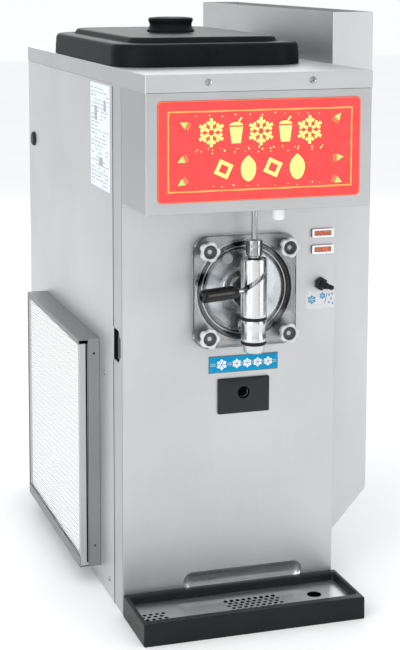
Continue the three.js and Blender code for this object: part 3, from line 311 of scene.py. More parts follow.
def foam(name):
    """Poured polyurethane foam with a skin of small cells."""
    material, tree, bsdf = shader(name)
    cells = field(tree, "ShaderNodeTexVoronoi", (300.0, 300.0, 300.0))
    two_tone(tree, bsdf, cells, (0.6, 0.52, 0.3), (0.86, 0.8, 0.58), 0.0, 0.7)
    tree.links.new(spread(tree, cells, 0.75, 0.95, 0.0, 0.8), bsdf.inputs["Roughness"])
    relief(tree, bsdf, cells, 0.6 * MM, 0.7)
    return material


def floor_paint(name):
    """A pale seamless floor."""
    material, tree, bsdf = shader(name)
    clouds = noise(tree, 2.0)
    two_tone(tree, bsdf, clouds, (0.92, 0.92, 0.92), (0.935, 0.935, 0.935))
    tree.links.new(spread(tree, clouds, 0.8, 0.9), bsdf.inputs["Roughness"])
    return material


def polished_dish(name):
    """Turned metal, brushed in circles round the door's axis, so that its highlights fan out."""
    material, tree, bsdf = shader(name, Metallic=1.0, Anisotropic=0.85)
    tangent = tree.nodes.new("ShaderNodeTangent")
    tangent.direction_type = "RADIAL"
    tangent.axis = "Y"
    tree.links.new(tangent.outputs["Tangent"], bsdf.inputs["Tangent"])
    clouds = noise(tree, 18.0, detail=4.0)
    two_tone(tree, bsdf, clouds, shade(0.9), shade(0.98))
    tree.links.new(spread(tree, clouds, 0.16, 0.26), bsdf.inputs["Roughness"])
    return material


STEEL = brushed_steel("steel_vertical_grain")
# The left side panel's steel is a lighter copy of the front's: painted light on the lit side.
STEEL_SIDE_LIGHTENED = brushed_steel("steel_side_painted_lighter", tone=0.67)
# The display box's steel, brushed across, is a darker copy of the panel steel: painted shade.
STEEL_HOUSING_SHADED = brushed_steel("steel_housing_grain_shaded", grain="X", tone=0.5)
STEEL_ACROSS = brushed_steel("steel_crosswise_grain", grain="X")
STEEL_INNER = brushed_steel("steel_drawn", tone=0.5, roughness=0.24)
# The filter bracket's steel is a much darker copy of the panel steel: painted shade from the filter frame.
STEEL_BRACKET_SHADED = brushed_steel("bracket_steel_painted_shade", tone=0.3, roughness=0.45)
CHROME = chrome("polished_steel", tone=0.36, roughness=0.09)
VALVE_STEEL = chrome("valve_satin_steel", tone=0.66, roughness=0.2)
# The screw plating is darkened: painted shade for the slots.
SCREW_SHADED = chrome("screw_plating_darkened", tone=0.4, roughness=0.2)
TRAY = moulded("tray_textured_black", (0.007, 0.008, 0.0085), roughness=0.34, grain=420.0, depth=0.9,
               Specular_IOR_Level=0.2)
LID = moulded("lid_satin_black", (0.008, 0.0095, 0.01), roughness=0.4, grain=900.0, depth=0.02,
              Specular_IOR_Level=0.04)
CONTROL = moulded("control_black", (0.012, 0.012, 0.013), roughness=0.4, grain=900.0, depth=0.02,
                  Specular_IOR_Level=0.25)
PLATE = moulded("plate_charcoal", (0.018, 0.02, 0.021), roughness=0.5, grain=650.0, depth=0.05,
                Specular_IOR_Level=0.2)
GRIP = moulded("grip_gloss_black", (0.003, 0.003, 0.0032), roughness=0.12, grain=400.0, depth=0.01,
               Specular_IOR_Level=0.3)
# Near black for the torque adjuster, the finger pull, the adjuster's bore and the filter's gaps: painted
# shade in holes and gaps.
HOLE_SHADE = moulded("hole_shade_black", (0.002, 0.002, 0.002), roughness=0.8, grain=400.0, Specular_IOR_Level=0.02)
RUBBER = moulded("seal_rubber", (0.008, 0.008, 0.008), roughness=0.45, grain=800.0, depth=0.03,
                 Specular_IOR_Level=0.25)
KNOB = moulded("knob_light_grey", (0.55, 0.56, 0.57), roughness=0.3, grain=300.0, depth=0.02, lift=1.08)
# A near-black copy of the knob plastic for the knobs' bores: painted shade.
KNOB_BORE_SHADE = moulded("knob_bore_shade_grey", (0.085, 0.085, 0.087), roughness=0.35, grain=300.0, depth=0.03)
PLUG_GREY = moulded("plug_grey", (0.3, 0.31, 0.32), roughness=0.3, grain=300.0, depth=0.02, lift=1.1)
WHITE = moulded("white_plastic", (0.86, 0.87, 0.87), roughness=0.35, grain=400.0, depth=0.02, lift=1.04)
SHIELD = brushed_steel("shield_grey", grain="X", tone=0.62, roughness=0.36)
# A much lighter copy of the panel steel for the recess floor and the door's bead: painted highlight.
BRIGHTENED_STEEL = brushed_steel("scoop_steel_painted_bright", grain="X", tone=0.92, roughness=0.3)
CASE = moulded("control_case_grey", (0.16, 0.17, 0.18), roughness=0.5)
FAN = moulded("fan_dark_grey", (0.05, 0.052, 0.055), roughness=0.42)
FRAME = painted("frame_grey_paint", (0.33, 0.34, 0.35))
MOTOR = painted("motor_dark_paint", (0.05, 0.055, 0.06))
COMPRESSOR = painted("compressor_black_paint", (0.012, 0.012, 0.013), roughness=0.25)
CAST = cast_metal("cast_aluminium", 0.42)
COIL = finned_coil("condenser_fins")
DOOR_CLEAR = clear_plastic("door_clear_plastic")
SIGN_RED = sign_face("sign_red")
FILTER = crimped_mesh("filter_crimped_mesh")
FILTER_FRAME = brushed_steel("filter_frame_aluminium", tone=0.55, roughness=0.42)
# The knob inserts' steel is darkened nearly to black: painted shade deep in the knob bores.
INSERT_SHADED = chrome("insert_steel_painted_shade", tone=0.1, roughness=0.25)
FOAM = foam("insulation_foam")
AMBER = amber_lens("lens_amber")
INK_YELLOW = ink("ink_yellow", (1.0, 0.84, 0.23), 0.1)
INK_ORANGE = ink("ink_orange", (1.0, 0.36, 0.1), 0.05)
INK_GREEN = ink("ink_green", (0.42, 0.68, 0.19), 0.05)
INK_BLUE = ink("ink_blue", (0.001, 0.25, 0.47))
INK_TAUPE = ink("ink_taupe", (0.15, 0.13, 0.12))
INK_WHITE = ink("ink_white", (0.86, 0.89, 0.92))
PAPER = ink("label_paper", (0.68, 0.74, 0.77))
INK_GREY = ink("ink_grey", (0.36, 0.38, 0.4))
# Dark grey film for lines of painted shade: the flange's fold, under the cover's skirt and in the finger
# pull.
SHADE_LINE_DARK = ink("shade_line_dark_grey", (0.1, 0.1, 0.105))
LABEL = ink("label_film", (0.6, 0.59, 0.6))

DISH = polished_dish("dish_turned_metal")
HUB = moulded("bearing_black", (0.02, 0.02, 0.021), roughness=0.25, grain=500.0, depth=0.02)

CAD_LOOKS = {
    "cabinet_frame": FRAME,
    "rear_panel": STEEL,
    "right_side_panel": STEEL,
    "hopper": STEEL_INNER,
    "feed_tube": WHITE,
    "chute_grille": CONTROL,
    "display_lamp": WHITE,
    "draw_switch": CONTROL,
    "freezing_cylinder": STEEL_INNER,
    "cylinder_insulation": FOAM,
    "valve_plunger": CHROME,
    "torque_adjuster": HOLE_SHADE,
    "control_box": CASE,
    "condenser": COIL,
    "condenser_fan": FAN,
    "fan_motor": MOTOR,
    "compressor": COMPRESSOR,
    "beater": STEEL_INNER,
    "drive_shaft": CHROME,
    "gear_reducer": CAST,
    "drive_motor": MOTOR,
    "drive_belt": RUBBER,
    "driven_pulley": CAST,
    "motor_pulley": CAST,
    **{f"knob_insert_{number}": INSERT_SHADED for number in range(1, 5)},
}


def dress_cad_nodes():
    for node, material in CAD_LOOKS.items():
        slots = frame["nodes"][node].data.materials
        slots.clear()
        slots.append(material)


# ---------------------------------------------------------------- mesh helpers

def settle(piece, material, body, smooth_angle=35):
    """Gives a finished mesh its material, its smooth shading and its body."""
    piece.data.materials.clear()
    piece.data.materials.append(material)
    piece.data.shade_smooth()
    piece.data.set_sharp_from_angle(angle=math.radians(smooth_angle))
    weighted = piece.modifiers.new("flat_faces_stay_flat", "WEIGHTED_NORMAL")
    weighted.keep_sharp = True
    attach(piece, body)
    return piece


def as_object(name, bm):
    bmesh.ops.recalc_face_normals(bm, faces=bm.faces)
    mesh = bpy.data.meshes.new(name)
    bm.to_mesh(mesh)
    bm.free()
    piece = bpy.data.objects.new(name, mesh)
    bpy.context.scene.collection.objects.link(piece)
    return piece


def facing(axis):
    """The turn that takes +Z to the axis."""
    return Vector((0, 0, 1)).rotation_difference(Vector(axis)).to_matrix().to_4x4()


def turned(name, profile, centre, axis=(0, 0, 1), segments=64):
    """A body of revolution: the profile is [radius, height] pairs in millimetres along the axis."""
    bm = bmesh.new()
    place = Matrix.Translation(centre) @ facing(axis)
    rings = []
    for radius, height in profile:
        if radius == 0:
            rings.append([bm.verts.new(place @ Vector((0, 0, height * MM)))])
            continue
        angles = [2 * math.pi * k / segments for k in range(segments)]
        rings.append([
            bm.verts.new(place @ Vector((radius * MM * math.cos(a), radius * MM * math.sin(a), height * MM)))
            for a in angles
        ])
    for lower, upper in zip(rings, rings[1:]):
        skin(bm, lower, upper)
    bmesh.ops.remove_doubles(bm, verts=bm.verts, dist=1e-7)
    return as_object(name, bm)


def skin(bm, lower, upper):
    """Faces between two rings of equal count, or between a ring and a point."""
    count = max(len(lower), len(upper))
    if count == 1:
        return
    for k in range(count):
        corners = [lower[k % len(lower)], lower[(k + 1) % count % len(lower)],
                   upper[(k + 1) % count % len(upper)], upper[k % len(upper)]]
        unique = list(dict.fromkeys(corners))
        if len(unique) > 2:
            bm.faces.new(unique)


def web(bm, grid):
    """Faces over a grid of vertices; gives back the ring of vertices round its edge."""
    for near, far in zip(grid, grid[1:]):
        for i in range(len(near) - 1):
            bm.faces.new((near[i], near[i + 1], far[i + 1], far[i]))
    right, left = [line[-1] for line in grid[1:-1]], [line[0] for line in grid[-2:0:-1]]
    return grid[0] + right + grid[-1][::-1] + left


def softened(profile, radius, steps=3):
    """The profile with each inner corner rounded by up to that radius, in millimetres."""
    points = [Vector(p) for p in profile]
    result = [tuple(points[0])]
    for before, corner, after in zip(points, points[1:], points[2:]):
        reach = min(radius, (before - corner).length * 0.45, (after - corner).length * 0.45)
        start = corner + (before - corner).normalized() * reach
        end = corner + (after - corner).normalized() * reach
        for k in range(steps + 1):
            t = k / steps
            result.append(tuple(start * (1 - t) ** 2 + corner * 2 * t * (1 - t) + end * t ** 2))
    result.append(tuple(points[-1]))
    return result


def circle(x, z, radius, count=32, phase=0.0):
    angles = [phase + 2 * math.pi * k / count for k in range(count)]
    return [(x + radius * math.cos(a), z + radius * math.sin(a)) for a in angles]


def rounded(x0, x1, z0, z1, radius, steps=8):
    """A rounded rectangle, anticlockwise from its right side."""
    points = []
    for cx, cz, start in ((x1 - radius, z1 - radius, 0), (x0 + radius, z1 - radius, 90),
                          (x0 + radius, z0 + radius, 180), (x1 - radius, z0 + radius, 270)):
        for k in range(steps + 1):
            a = math.radians(start + 90 * k / steps)
            points.append((cx + radius * math.cos(a), cz + radius * math.sin(a)))
    return points


# Drawn in X and Z with thickness to -Y, in -Y and Z with thickness to -X, in X and Y with thickness to +Z.
FRONT_VIEW = Matrix(((1, 0, 0, 0), (0, 0, -1, 0), (0, 1, 0, 0), (0, 0, 0, 1)))
LEFT_VIEW = Matrix(((0, 0, -1, 0), (-1, 0, 0, 0), (0, 1, 0, 0), (0, 0, 0, 1)))
PLAN_VIEW = Matrix.Identity(4)


def plate(name, outlines, thickness, view, depth, bevel=0.0, at=(0, 0)):
    """A plate from outlines in metres, holes included; depth is its inner face's place along the view."""
    curve = bpy.data.curves.new(name, "CURVE")
    curve.dimensions = "2D"
    curve.fill_mode = "BOTH"
    curve.extrude = thickness / 2 - bevel
    curve.bevel_depth = bevel
    curve.bevel_resolution = 3
    curve.offset = -bevel
    for outline in outlines:
        spline = curve.splines.new("POLY")
        spline.points.add(len(outline) - 1)
        for point, (u, v) in zip(spline.points, outline):
            point.co = (u + at[0], v + at[1], 0, 1)
        spline.use_cyclic_u = True
    drawn = bpy.data.objects.new(name, curve)
    bpy.context.scene.collection.objects.link(drawn)
    bpy.context.view_layer.update()
    mesh = bpy.data.meshes.new_from_object(drawn.evaluated_get(bpy.context.evaluated_depsgraph_get()))
    bpy.data.objects.remove(drawn)
    bm = bmesh.new()
    bm.from_mesh(mesh)
    bmesh.ops.transform(bm, matrix=view @ Matrix.Translation((0, 0, depth + thickness / 2)), verts=bm.verts)
    bmesh.ops.remove_doubles(bm, verts=bm.verts, dist=1e-6)
    return as_object(name, bm)


def is_wide(face, least):
    """True if the face is wider than a sheet's edge."""
    return 2 * face.calc_area() / sum(edge.calc_length() for edge in face.edges) > least


FOLD_ANGLE, RIM_ANGLE = 0.9, 1.2  # the least turn, in radians, of a folded corner and of a sheet's edge


def outer_edges(bm, least):
    """The convex edges that turn by more than an angle in radians."""
    return [e for e in bm.edges if len(e.link_faces) == 2 and e.is_convex and e.calc_face_angle() > least]


def refined(node, radius, material, edge_radius=0.3):
    """The node's own shape, its folded corners rounded and its sheet edges eased by radii in millimetres."""
    bm = bmesh.new()
    bm.from_mesh(frame["nodes"][node].data)
    bmesh.ops.remove_doubles(bm, verts=bm.verts, dist=1e-6)
    bmesh.ops.dissolve_limit(bm, angle_limit=math.radians(1), verts=bm.verts, edges=bm.edges)
    least = 2.2 * radius * MM
    sharp = outer_edges(bm, FOLD_ANGLE)
    folds = [e for e in sharp if all(is_wide(face, least) for face in e.link_faces)]
    if folds:
        bmesh.ops.bevel(bm, geom=folds, offset=radius * MM, segments=3, profile=0.5,
                        affect="EDGES", clamp_overlap=True)
    rims = outer_edges(bm, RIM_ANGLE)
    if rims:
        bmesh.ops.bevel(bm, geom=rims, offset=edge_radius * MM, segments=1, profile=0.5,
                        affect="EDGES", clamp_overlap=True)
    piece = as_object(f"{node}_finished", bm)
    body = frame["nodes"][node]["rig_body"]
    settle(piece, material, body)
    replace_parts(piece, node)
    return piece


def cut(piece, cutter):
    """Takes the cutter out of the piece and removes the cutter."""
    modifier = piece.modifiers.new("cut", "BOOLEAN")
    modifier.operation = "DIFFERENCE"
    modifier.solver = "EXACT"
    modifier.object = cutter
    bpy.context.view_layer.update()
    mesh = bpy.data.meshes.new_from_object(piece.evaluated_get(bpy.context.evaluated_depsgraph_get()))
    piece.modifiers.clear()
    piece.data = mesh
    bpy.data.objects.remove(cutter)


def lofted(name, sections):
    """A closed skin over rounded rectangles, each x0, x1, y0, y1, corner radius and z, in metres."""
    bm = bmesh.new()
    rings = []
    for x0, x1, y0, y1, radius, z in sections:
        rings.append([bm.verts.new((x, y, z)) for x, y in rounded(x0, x1, y0, y1, radius)])
    for lower, upper in zip(rings, rings[1:]):
        skin(bm, lower, upper)
    bm.faces.new(rings[0])
    bm.faces.new(rings[-1])
    return as_object(name, bm)


def inset(box, amount, radius, z):
    """A section for a loft: the box x0, x1, y0, y1 drawn in by some millimetres, at z in metres."""
    x0, x1, y0, y1 = box
    return (x0 + amount * MM, x1 - amount * MM, y0 + amount * MM, y1 - amount * MM, radius * MM, z)


# ---------------------------------------------------------------- cabinet

FOLD = 1.6  # outer radius of the sheet steel's folds, in millimetres


def cabinet_shells():
    for node, radius, material in (
        ("front_panel", FOLD, STEEL), ("left_side_panel", FOLD, STEEL_SIDE_LIGHTENED),
        ("display_housing", FOLD, STEEL_HOUSING_SHADED), ("top_cover", 2.0, STEEL_ACROSS),
        ("discharge_chute", FOLD, STEEL),
    ):
        refined(node, radius, material)
    refined("filter_bracket", 0.8, STEEL_BRACKET_SHADED, edge_radius=0.2)
    refined("filter_frame", 0.8, FILTER_FRAME, edge_radius=0.2)
    refined("adjuster_plate", 0.8, PLATE, edge_radius=0.5)


def screw(name, place, outward, radius, turn):
    """A domed screw head with a straight slot; the radius is in millimetres."""
    height = 0.42 * radius
    profile = [(0, 0), (radius, 0), (radius, 0.12 * radius), (0.92 * radius, 0.26 * radius),
               (0.66 * radius, 0.37 * radius), (0.33 * radius, 0.41 * radius), (0, height)]
    head = turned(name, profile, (0, 0, 0), segments=32)
    half_length, half_width = 1.3 * radius * MM, 0.2 * radius * MM
    slot = rounded(-half_length, half_length, -half_width, half_width, 0.01 * MM, 1)
    cut(head, plate(f"{name}_cutter", [slot], height * MM, PLAN_VIEW, 0.2 * radius * MM))
    head.data.transform(Matrix.Translation(place) @ facing(outward) @ Matrix.Rotation(turn, 4, "Z"))
    return settle(head, SCREW_SHADED, "root")


def cabinet_screws():
    cover_face = COVER_LOW.y
    cover_z = COVER_HIGH.z - 14.5 * MM
    for number, (x, turn) in enumerate(((-93 * MM, 0.9), (93 * MM, 0.5)), 1):
        screw(f"cover_screw_{number}", (x, cover_face, cover_z), (0, -1, 0), 6.2, turn)
    side_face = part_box("left_side_panel")[0].x
    for number, (y, z) in enumerate(((121, 419), (94, 33)), 1):
        screw(f"side_screw_{number}", (side_face, FRONT + y * MM, z * MM), (-1, 0, 0), 5.0, 0.7 * number)
    below = HOUSING_LOW.z
    for number, x in enumerate((-178, 96, 146, 178), 1):
        screw(f"housing_screw_{number}", (x * MM, FRONT - 118 * MM, below), (0, 0, -1), 3.2, 0.4 * number)
    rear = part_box("rear_panel")[1]
    for number in range(8):
        x = (LEFT + 20 * MM, RIGHT - 20 * MM)[number % 2]
        z = (0.12 + 0.24 * (number // 2)) * rear.z
        screw(f"rear_screw_{number + 1}", (x, rear.y, z), (0, 1, 0), 5.0, 0.5 * number)
    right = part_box("right_side_panel")[1].x
    for number, z in enumerate((33, 419, 800), 1):
        screw(f"right_screw_{number}", (right, FRONT + 76 * MM, z * MM), (1, 0, 0), 4.0, 0.3 * number)


def plugs():
    side_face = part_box("left_side_panel")[0].x
    plug = turned("side_plug", softened([(0, 0), (15, 0), (15, 3.5), (12, 6), (0, 6.5)], 1.2),
                  (side_face, FRONT + 705 * MM, 788 * MM), (-1, 0, 0))
    settle(plug, CONTROL, "root")
    cap = turned("housing_white_cap", softened([(0, 0), (11, 0), (11, 29), (9.5, 31), (0, 31)], 1.0),
                 (66 * MM, FRONT - 60 * MM, HOUSING_LOW.z), (0, 0, -1))
    settle(cap, WHITE, "root")


def finger_pull():
    """The cup behind the notch in the left flange, near black as painted shade in the notch, with its pale
    inner edge.
    """
    x = LEFT + 1.3 * MM
    y0, y1 = FRONT + 14 * MM, FRONT + 60 * MM
    z0, z1 = 460 * MM, 517 * MM
    cup = plate("finger_pull_cup", [rounded(-y1, -y0, z0, z1, 4 * MM)], 0.8 * MM, LEFT_VIEW, -x - 0.9 * MM,
                0.2 * MM)
    settle(cup, HOLE_SHADE, "root")
    edge = rounded(-y0 - 17 * MM, -y0 - 8 * MM, z0 + 6 * MM, z1 - 6 * MM, 2 * MM)
    strip = plate("finger_pull_strip", [edge], 0.5 * MM, LEFT_VIEW, -x, 0.1 * MM)
    settle(strip, SHADE_LINE_DARK, "root")


def lift_scoop():
    """The pressed floor of the recess above the tray, deepest along its middle, in a lighter copy of the
    panel steel: painted highlight on top of the sky it reflects.
    """
    x0, x1, z0, z1, corner, deepest = -87 * MM, 140 * MM, 27 * MM, 65 * MM, 16 * MM, 12 * MM
    columns, rows = 96, 16
    rims = []
    bm = bmesh.new()
    for back in (0, 0.6 * MM):
        grid = []
        for j in range(rows + 1):
            line = []
            for i in range(columns + 1):
                x = x0 + (x1 - x0) * i / columns
                near = min(x - x0, x1 - x, corner) / corner
                bow = math.sqrt(max(0.0, 1 - (1 - near) ** 2))
                half = (z1 - z0) / 2 - corner * (1 - bow)
                angle = math.pi * j / rows
                y = FRONT + 1.6 * MM + back + deepest * bow * math.sin(angle) ** 0.7
                line.append(bm.verts.new((x, y, (z0 + z1) / 2 + half * math.cos(angle))))
            grid.append(line)
        rims.append(web(bm, grid))
    skin(bm, *rims)
    settle(as_object("lift_scoop", bm), BRIGHTENED_STEEL, "root", 60)


def adjuster_bore_shade():
    place = middle("torque_adjuster")
    # A near-black ring lining the hole round the adjuster: painted shade in the bore.
    profile = [(9.2, 1.1), (9.2, 0.7), (10.7, 0.7), (10.7, -2.9), (11.3, -2.9), (11.3, 1.1), (9.2, 1.1)]
    liner = turned("adjuster_bore_shade", profile, (place.x, FRONT, place.z), (0, 1, 0), 48)
    settle(liner, HOLE_SHADE, "root")


def seam():
    """Dark strips of painted shade in the gap between the front panel's flange and the side panel, and a
    painted shadow line along the flange's fold.
    """
    low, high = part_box("left_side_panel")
    y = low.y
    top = high.z - 32 * MM
    for name, z0, z1 in (("seam_gap_shade_low", low.z, 458 * MM), ("seam_gap_shade_high", 519 * MM, top)):
        outline = rounded(-y - 0.7 * MM, -y + 1.5 * MM, z0, z1, 0.3 * MM, 2)
        strip = plate(name, [outline], 0.5 * MM, LEFT_VIEW, -LEFT - 0.05 * MM, 0.1 * MM)
        settle(strip, RUBBER, "root")
    corner = rounded(-FRONT - 3.6 * MM, -FRONT - 2.6 * MM, low.z, top, 0.2 * MM, 2)
    line = plate("flange_fold_shadow_line", [corner], 0.2 * MM, LEFT_VIEW, -LEFT)
    settle(line, SHADE_LINE_DARK, "root")


def skirt_shadows():
    """The painted shadow line under the cover's skirt, over the display box and along the left side."""
    z1 = COVER_LOW.z - 0.1 * MM
    z0 = z1 - 0.9 * MM
    left_low, left_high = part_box("left_side_panel")
    across = [rounded(HOUSING_LOW.x + 2 * MM, HOUSING_HIGH.x - 2 * MM, z0, z1, 0.2 * MM, 2)]
    along = [rounded(-left_high.y + 2 * MM, -left_low.y, z0, z1, 0.2 * MM, 2)]
    front_line = plate("skirt_shadow_line_front", across, 0.2 * MM, FRONT_VIEW, -HOUSING_LOW.y)
    side_line = plate("skirt_shadow_line_left", along, 0.2 * MM, LEFT_VIEW, -left_low.x)
    for line in (front_line, side_line):
        settle(line, SHADE_LINE_DARK, "root")


# ---------------------------------------------------------------- lid and tray

def hopper_lid():
    low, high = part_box("hopper_lid")
    box = (low.x, high.x, low.y, high.y)
    shape = [
        (6, 34, 59), (6, 0.2, 59), (1.4, 0, 64), (0, 1.4, 65), (0.6, 14, 65), (1.6, 28, 64), (2.3, 33, 63),
        (4.1, 36.8, 61), (6.9, 39.1, 58), (10.5, 40, 55), (20, 40.2, 50), (31, 40.3, 46), (32.4, 39.0, 45),
        (34.6, 39.0, 44), (36.4, 40.2, 43), (38.6, 45, 42), (40.4, 48, 41), (43.2, 49.6, 40), (47, 50, 38),
    ]
    lid = lofted("lid_shell", [inset(box, amount, radius, low.z + z * MM) for amount, z, radius in shape])
    settle(lid, LID, "lid", smooth_angle=50)
    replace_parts(lid, "hopper_lid")
    centre = ((low.x + high.x) / 2, (low.y + high.y) / 2, low.z + 50 * MM)
    profile = [(0, -1), (46, -1), (46, 2.6), (44.8, 4.4), (43.6, 5), (43.2, 6.6), (41.4, 8.6), (40.4, 12.4),
               (40.8, 16.4), (42.6, 20), (43, 21.4), (43, 24), (41.6, 26), (38.6, 27), (32, 27), (30.6, 25.8),
               (0, 25.2)]
    knob = turned("lid_knob", softened(profile, 0.9), centre, segments=96)
    settle(knob, LID, "lid", smooth_angle=60)
    angles = [math.radians(180 + 180 * k / 20) for k in range(21)]
    rim = [(angle, 11.5) for angle in angles] + [(angle, 9.8) for angle in reversed(angles)]
    curve = [(radius * MM * math.cos(angle), radius * MM * math.sin(angle)) for angle, radius in rim]
    emboss = plate("lid_moulded_arc", [curve], 1.0 * MM, FRONT_VIEW, -low.y - 0.7 * MM, 0.3 * MM,
                   at=(centre[0] - 8 * MM, low.z + 27 * MM))
    settle(emboss, LID, "lid", smooth_angle=60)


def drip_tray():
    low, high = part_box("drip_tray")
    shield_low, shield_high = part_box("splash_shield")
    outer = (low.x, high.x, low.y, high.y)
    gap = 0.3 * MM
    well = (shield_low.x - gap, shield_high.x + gap, shield_low.y - gap, shield_high.y + gap)
    ledge = shield_low.z - gap
    rim = high.z
    sections = [
        inset(outer, 0.8, 3.2, low.z), inset(outer, 0.2, 3.8, low.z + 0.8 * MM),
        inset(outer, 0, 4, low.z + 3 * MM),
        inset(outer, 0.3, 4, rim - 3.6 * MM), inset(outer, 0.8, 3.6, rim - 1.6 * MM),
        inset(outer, 1.8, 3, rim - 0.4 * MM), inset(outer, 3.4, 2.6, rim),
        inset(well, -3.4, 8, rim), inset(well, -1.6, 7, rim - 0.6 * MM),
        inset(well, -0.5, 6.4, rim - 2.4 * MM),
        inset(well, 0, 6, rim - 5 * MM), inset(well, 0, 6, ledge), inset(well, 6, 4, ledge - 0.1 * MM),
        inset(well, 7.5, 5, low.z + 5.5 * MM), inset(well, 11, 5, low.z + 4.2 * MM),
    ]
    tray = settle(lofted("drip_tray_shell", sections), TRAY, "tray", smooth_angle=50)
    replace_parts(tray, "drip_tray")


def hole_pattern(x0, columns, rows, pitch, radius, middle_y):
    """Staggered round holes, centred on the tray's depth."""
    holes = []
    for row in range(rows):
        y = middle_y + (row - (rows - 1) / 2) * pitch * 0.87
        shift = 0.5 * pitch * (row % 2)
        holes += [circle(x0 + shift + column * pitch, y, radius, 12) for column in range(columns)]
    return holes


def splash_shield():
    low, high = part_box("splash_shield")
    middle_y = (low.y + high.y) / 2
    top, thickness, dip = high.z, 0.7 * MM, 2.1 * MM
    trough = (-100 * MM, 116 * MM, 15 * MM, 16 * MM)  # ends, half width, width of its sloping sides
    columns, rows = 130, 34

    def sink(x, y):
        beyond = Vector((max(trough[0] - x, 0, x - trough[1]), max(abs(y - middle_y) - trough[2], 0))).length
        t = max(0.0, 1 - beyond / trough[3])
        return dip * t * t * (3 - 2 * t)

    bm = bmesh.new()
    layers = []
    for lift in (0, -thickness):
        layers.append([[
            bm.verts.new((x, y, top + lift - sink(x, y)))
            for x in (low.x + (high.x - low.x) * i / columns for i in range(columns + 1))]
            for y in (low.y + (high.y - low.y) * j / rows for j in range(rows + 1))])
    skin(bm, *[web(bm, grid) for grid in layers])
    shield = as_object("splash_shield_sheet", bm)
    holes = hole_pattern(-24 * MM, 9, 5, 11.4 * MM, 3.9 * MM, middle_y)
    holes += hole_pattern(-187 * MM, 4, 4, 11.4 * MM, 3.9 * MM, low.y + 38 * MM)
    holes.append(circle(140 * MM, middle_y, 13 * MM, 40))
    cut(shield, plate("shield_cutter", holes, 12 * MM, PLAN_VIEW, top - 8 * MM))
    settle(shield, SHIELD, "shield")
    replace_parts(shield, "splash_shield")


# ---------------------------------------------------------------- freezer door

def star(radius, lobes, depth, count=120):
    points = []
    for k in range(count):
        a = 2 * math.pi * k / count
        r = radius - depth * (0.5 - 0.5 * math.cos(lobes * a)) ** 2
        points.append((r * math.cos(a), r * math.sin(a)))
    return points


def freezer_door():
    back = -FRONT + SEAT
    thickness = -back - DOOR_FACE
    width, height = DOOR_HIGH.x - DOOR_LOW.x, DOOR_HIGH.z - DOOR_LOW.z
    holes = [circle(0, 0, 27.9 * MM, 48), circle(PRIME.x - DOOR.x, PRIME.z - DOOR.z, 5.4 * MM, 24)]
    for x, z in STUDS:
        holes.append(circle(x, z, 4.4 * MM, 20))
    outline = rounded(-width / 2, width / 2, -height / 2, height / 2, 27 * MM)
    door = plate("door_clear_plate", [outline, *holes], thickness, FRONT_VIEW, back, 2.4 * MM,
                 at=(DOOR.x, DOOR.z))
    settle(door, DOOR_CLEAR, "root")
    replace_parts(door, "freezer_door")
    centre = (DOOR.x, FRONT, DOOR.z)
    plug = [(28.2, 0.1), (86, 0.1), (86, 5.6), (83, 6), (60, 6), (28.2, 6), (28.2, 0.1)]
    settle(turned("door_plug", plug, centre, (0, 1, 0), 96), DOOR_CLEAR, "root")
    seal = softened([(86.7, 0.6), (89.6, 0.6), (89.6, 5.4), (86.7, 5.4), (86.7, 0.6)], 1.0)
    gasket = settle(turned("door_gasket_ring", seal, centre, (0, 1, 0), 96), RUBBER, "root")
    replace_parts(gasket, "door_gasket")
    dish = [(28.4, 16.6), (28.4, 15.6), (33, 15.2), (34, 14), (36, 14), (37, 15), (52, 13.8), (68, 11.8),
            (72, 10.4), (74.4, 8.2), (74.4, 10), (72, 12.6), (28.4, 16.6)]
    settle(turned("door_inner_dish", dish, centre, (0, 1, 0), 128), DISH, "root", 30)
    bead = softened([(78.6, 6.6), (80.4, 6.6), (80.4, 8.4), (78.6, 8.4), (78.6, 6.6)], 0.6)
    # The bead takes the lighter steel: a painted highlight ring.
    settle(turned("door_inner_bead", bead, centre, (0, 1, 0), 128), BRIGHTENED_STEEL, "root", 30)
    for name, inner, outer in (("door_dark_ring", 74.8, 78.4), ("door_outer_ring", 80.6, 85.6)):
        profile = softened([(inner, 6.5), (outer, 6.5), (outer, 9), (inner, 9), (inner, 6.5)], 0.4)
        settle(turned(name, profile, centre, (0, 1, 0), 128), RUBBER, "root", 30)
    rings = [(0, -14.1), (9, -14.1), (9.6, -13.4), (14, -13.4), (14.6, -14.1), (18, -14.1), (18.6, -13.2),
             (23, -13.2), (24, -14.1), (26.6, -14.1), (27.5, -13.2), (27.5, 14), (6.3, 14), (6.3, -6.3),
             (0, -6.3)]
    hub = settle(turned("front_bearing_hub", rings, centre, (0, 1, 0), 96), HUB, "root")
    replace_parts(hub, "front_bearing")
    head = softened([(0, 5), (9, 5), (10, 4), (10, 0), (5, 0), (5, -20), (0, -20)], 0.8)
    place = (PRIME.x, DOOR_FACE - SEAT, PRIME.z)
    cap = settle(turned("prime_plug_cap", head, place, (0, -1, 0), 48), PLUG_GREY, "prime")
    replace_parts(cap, "prime_plug")


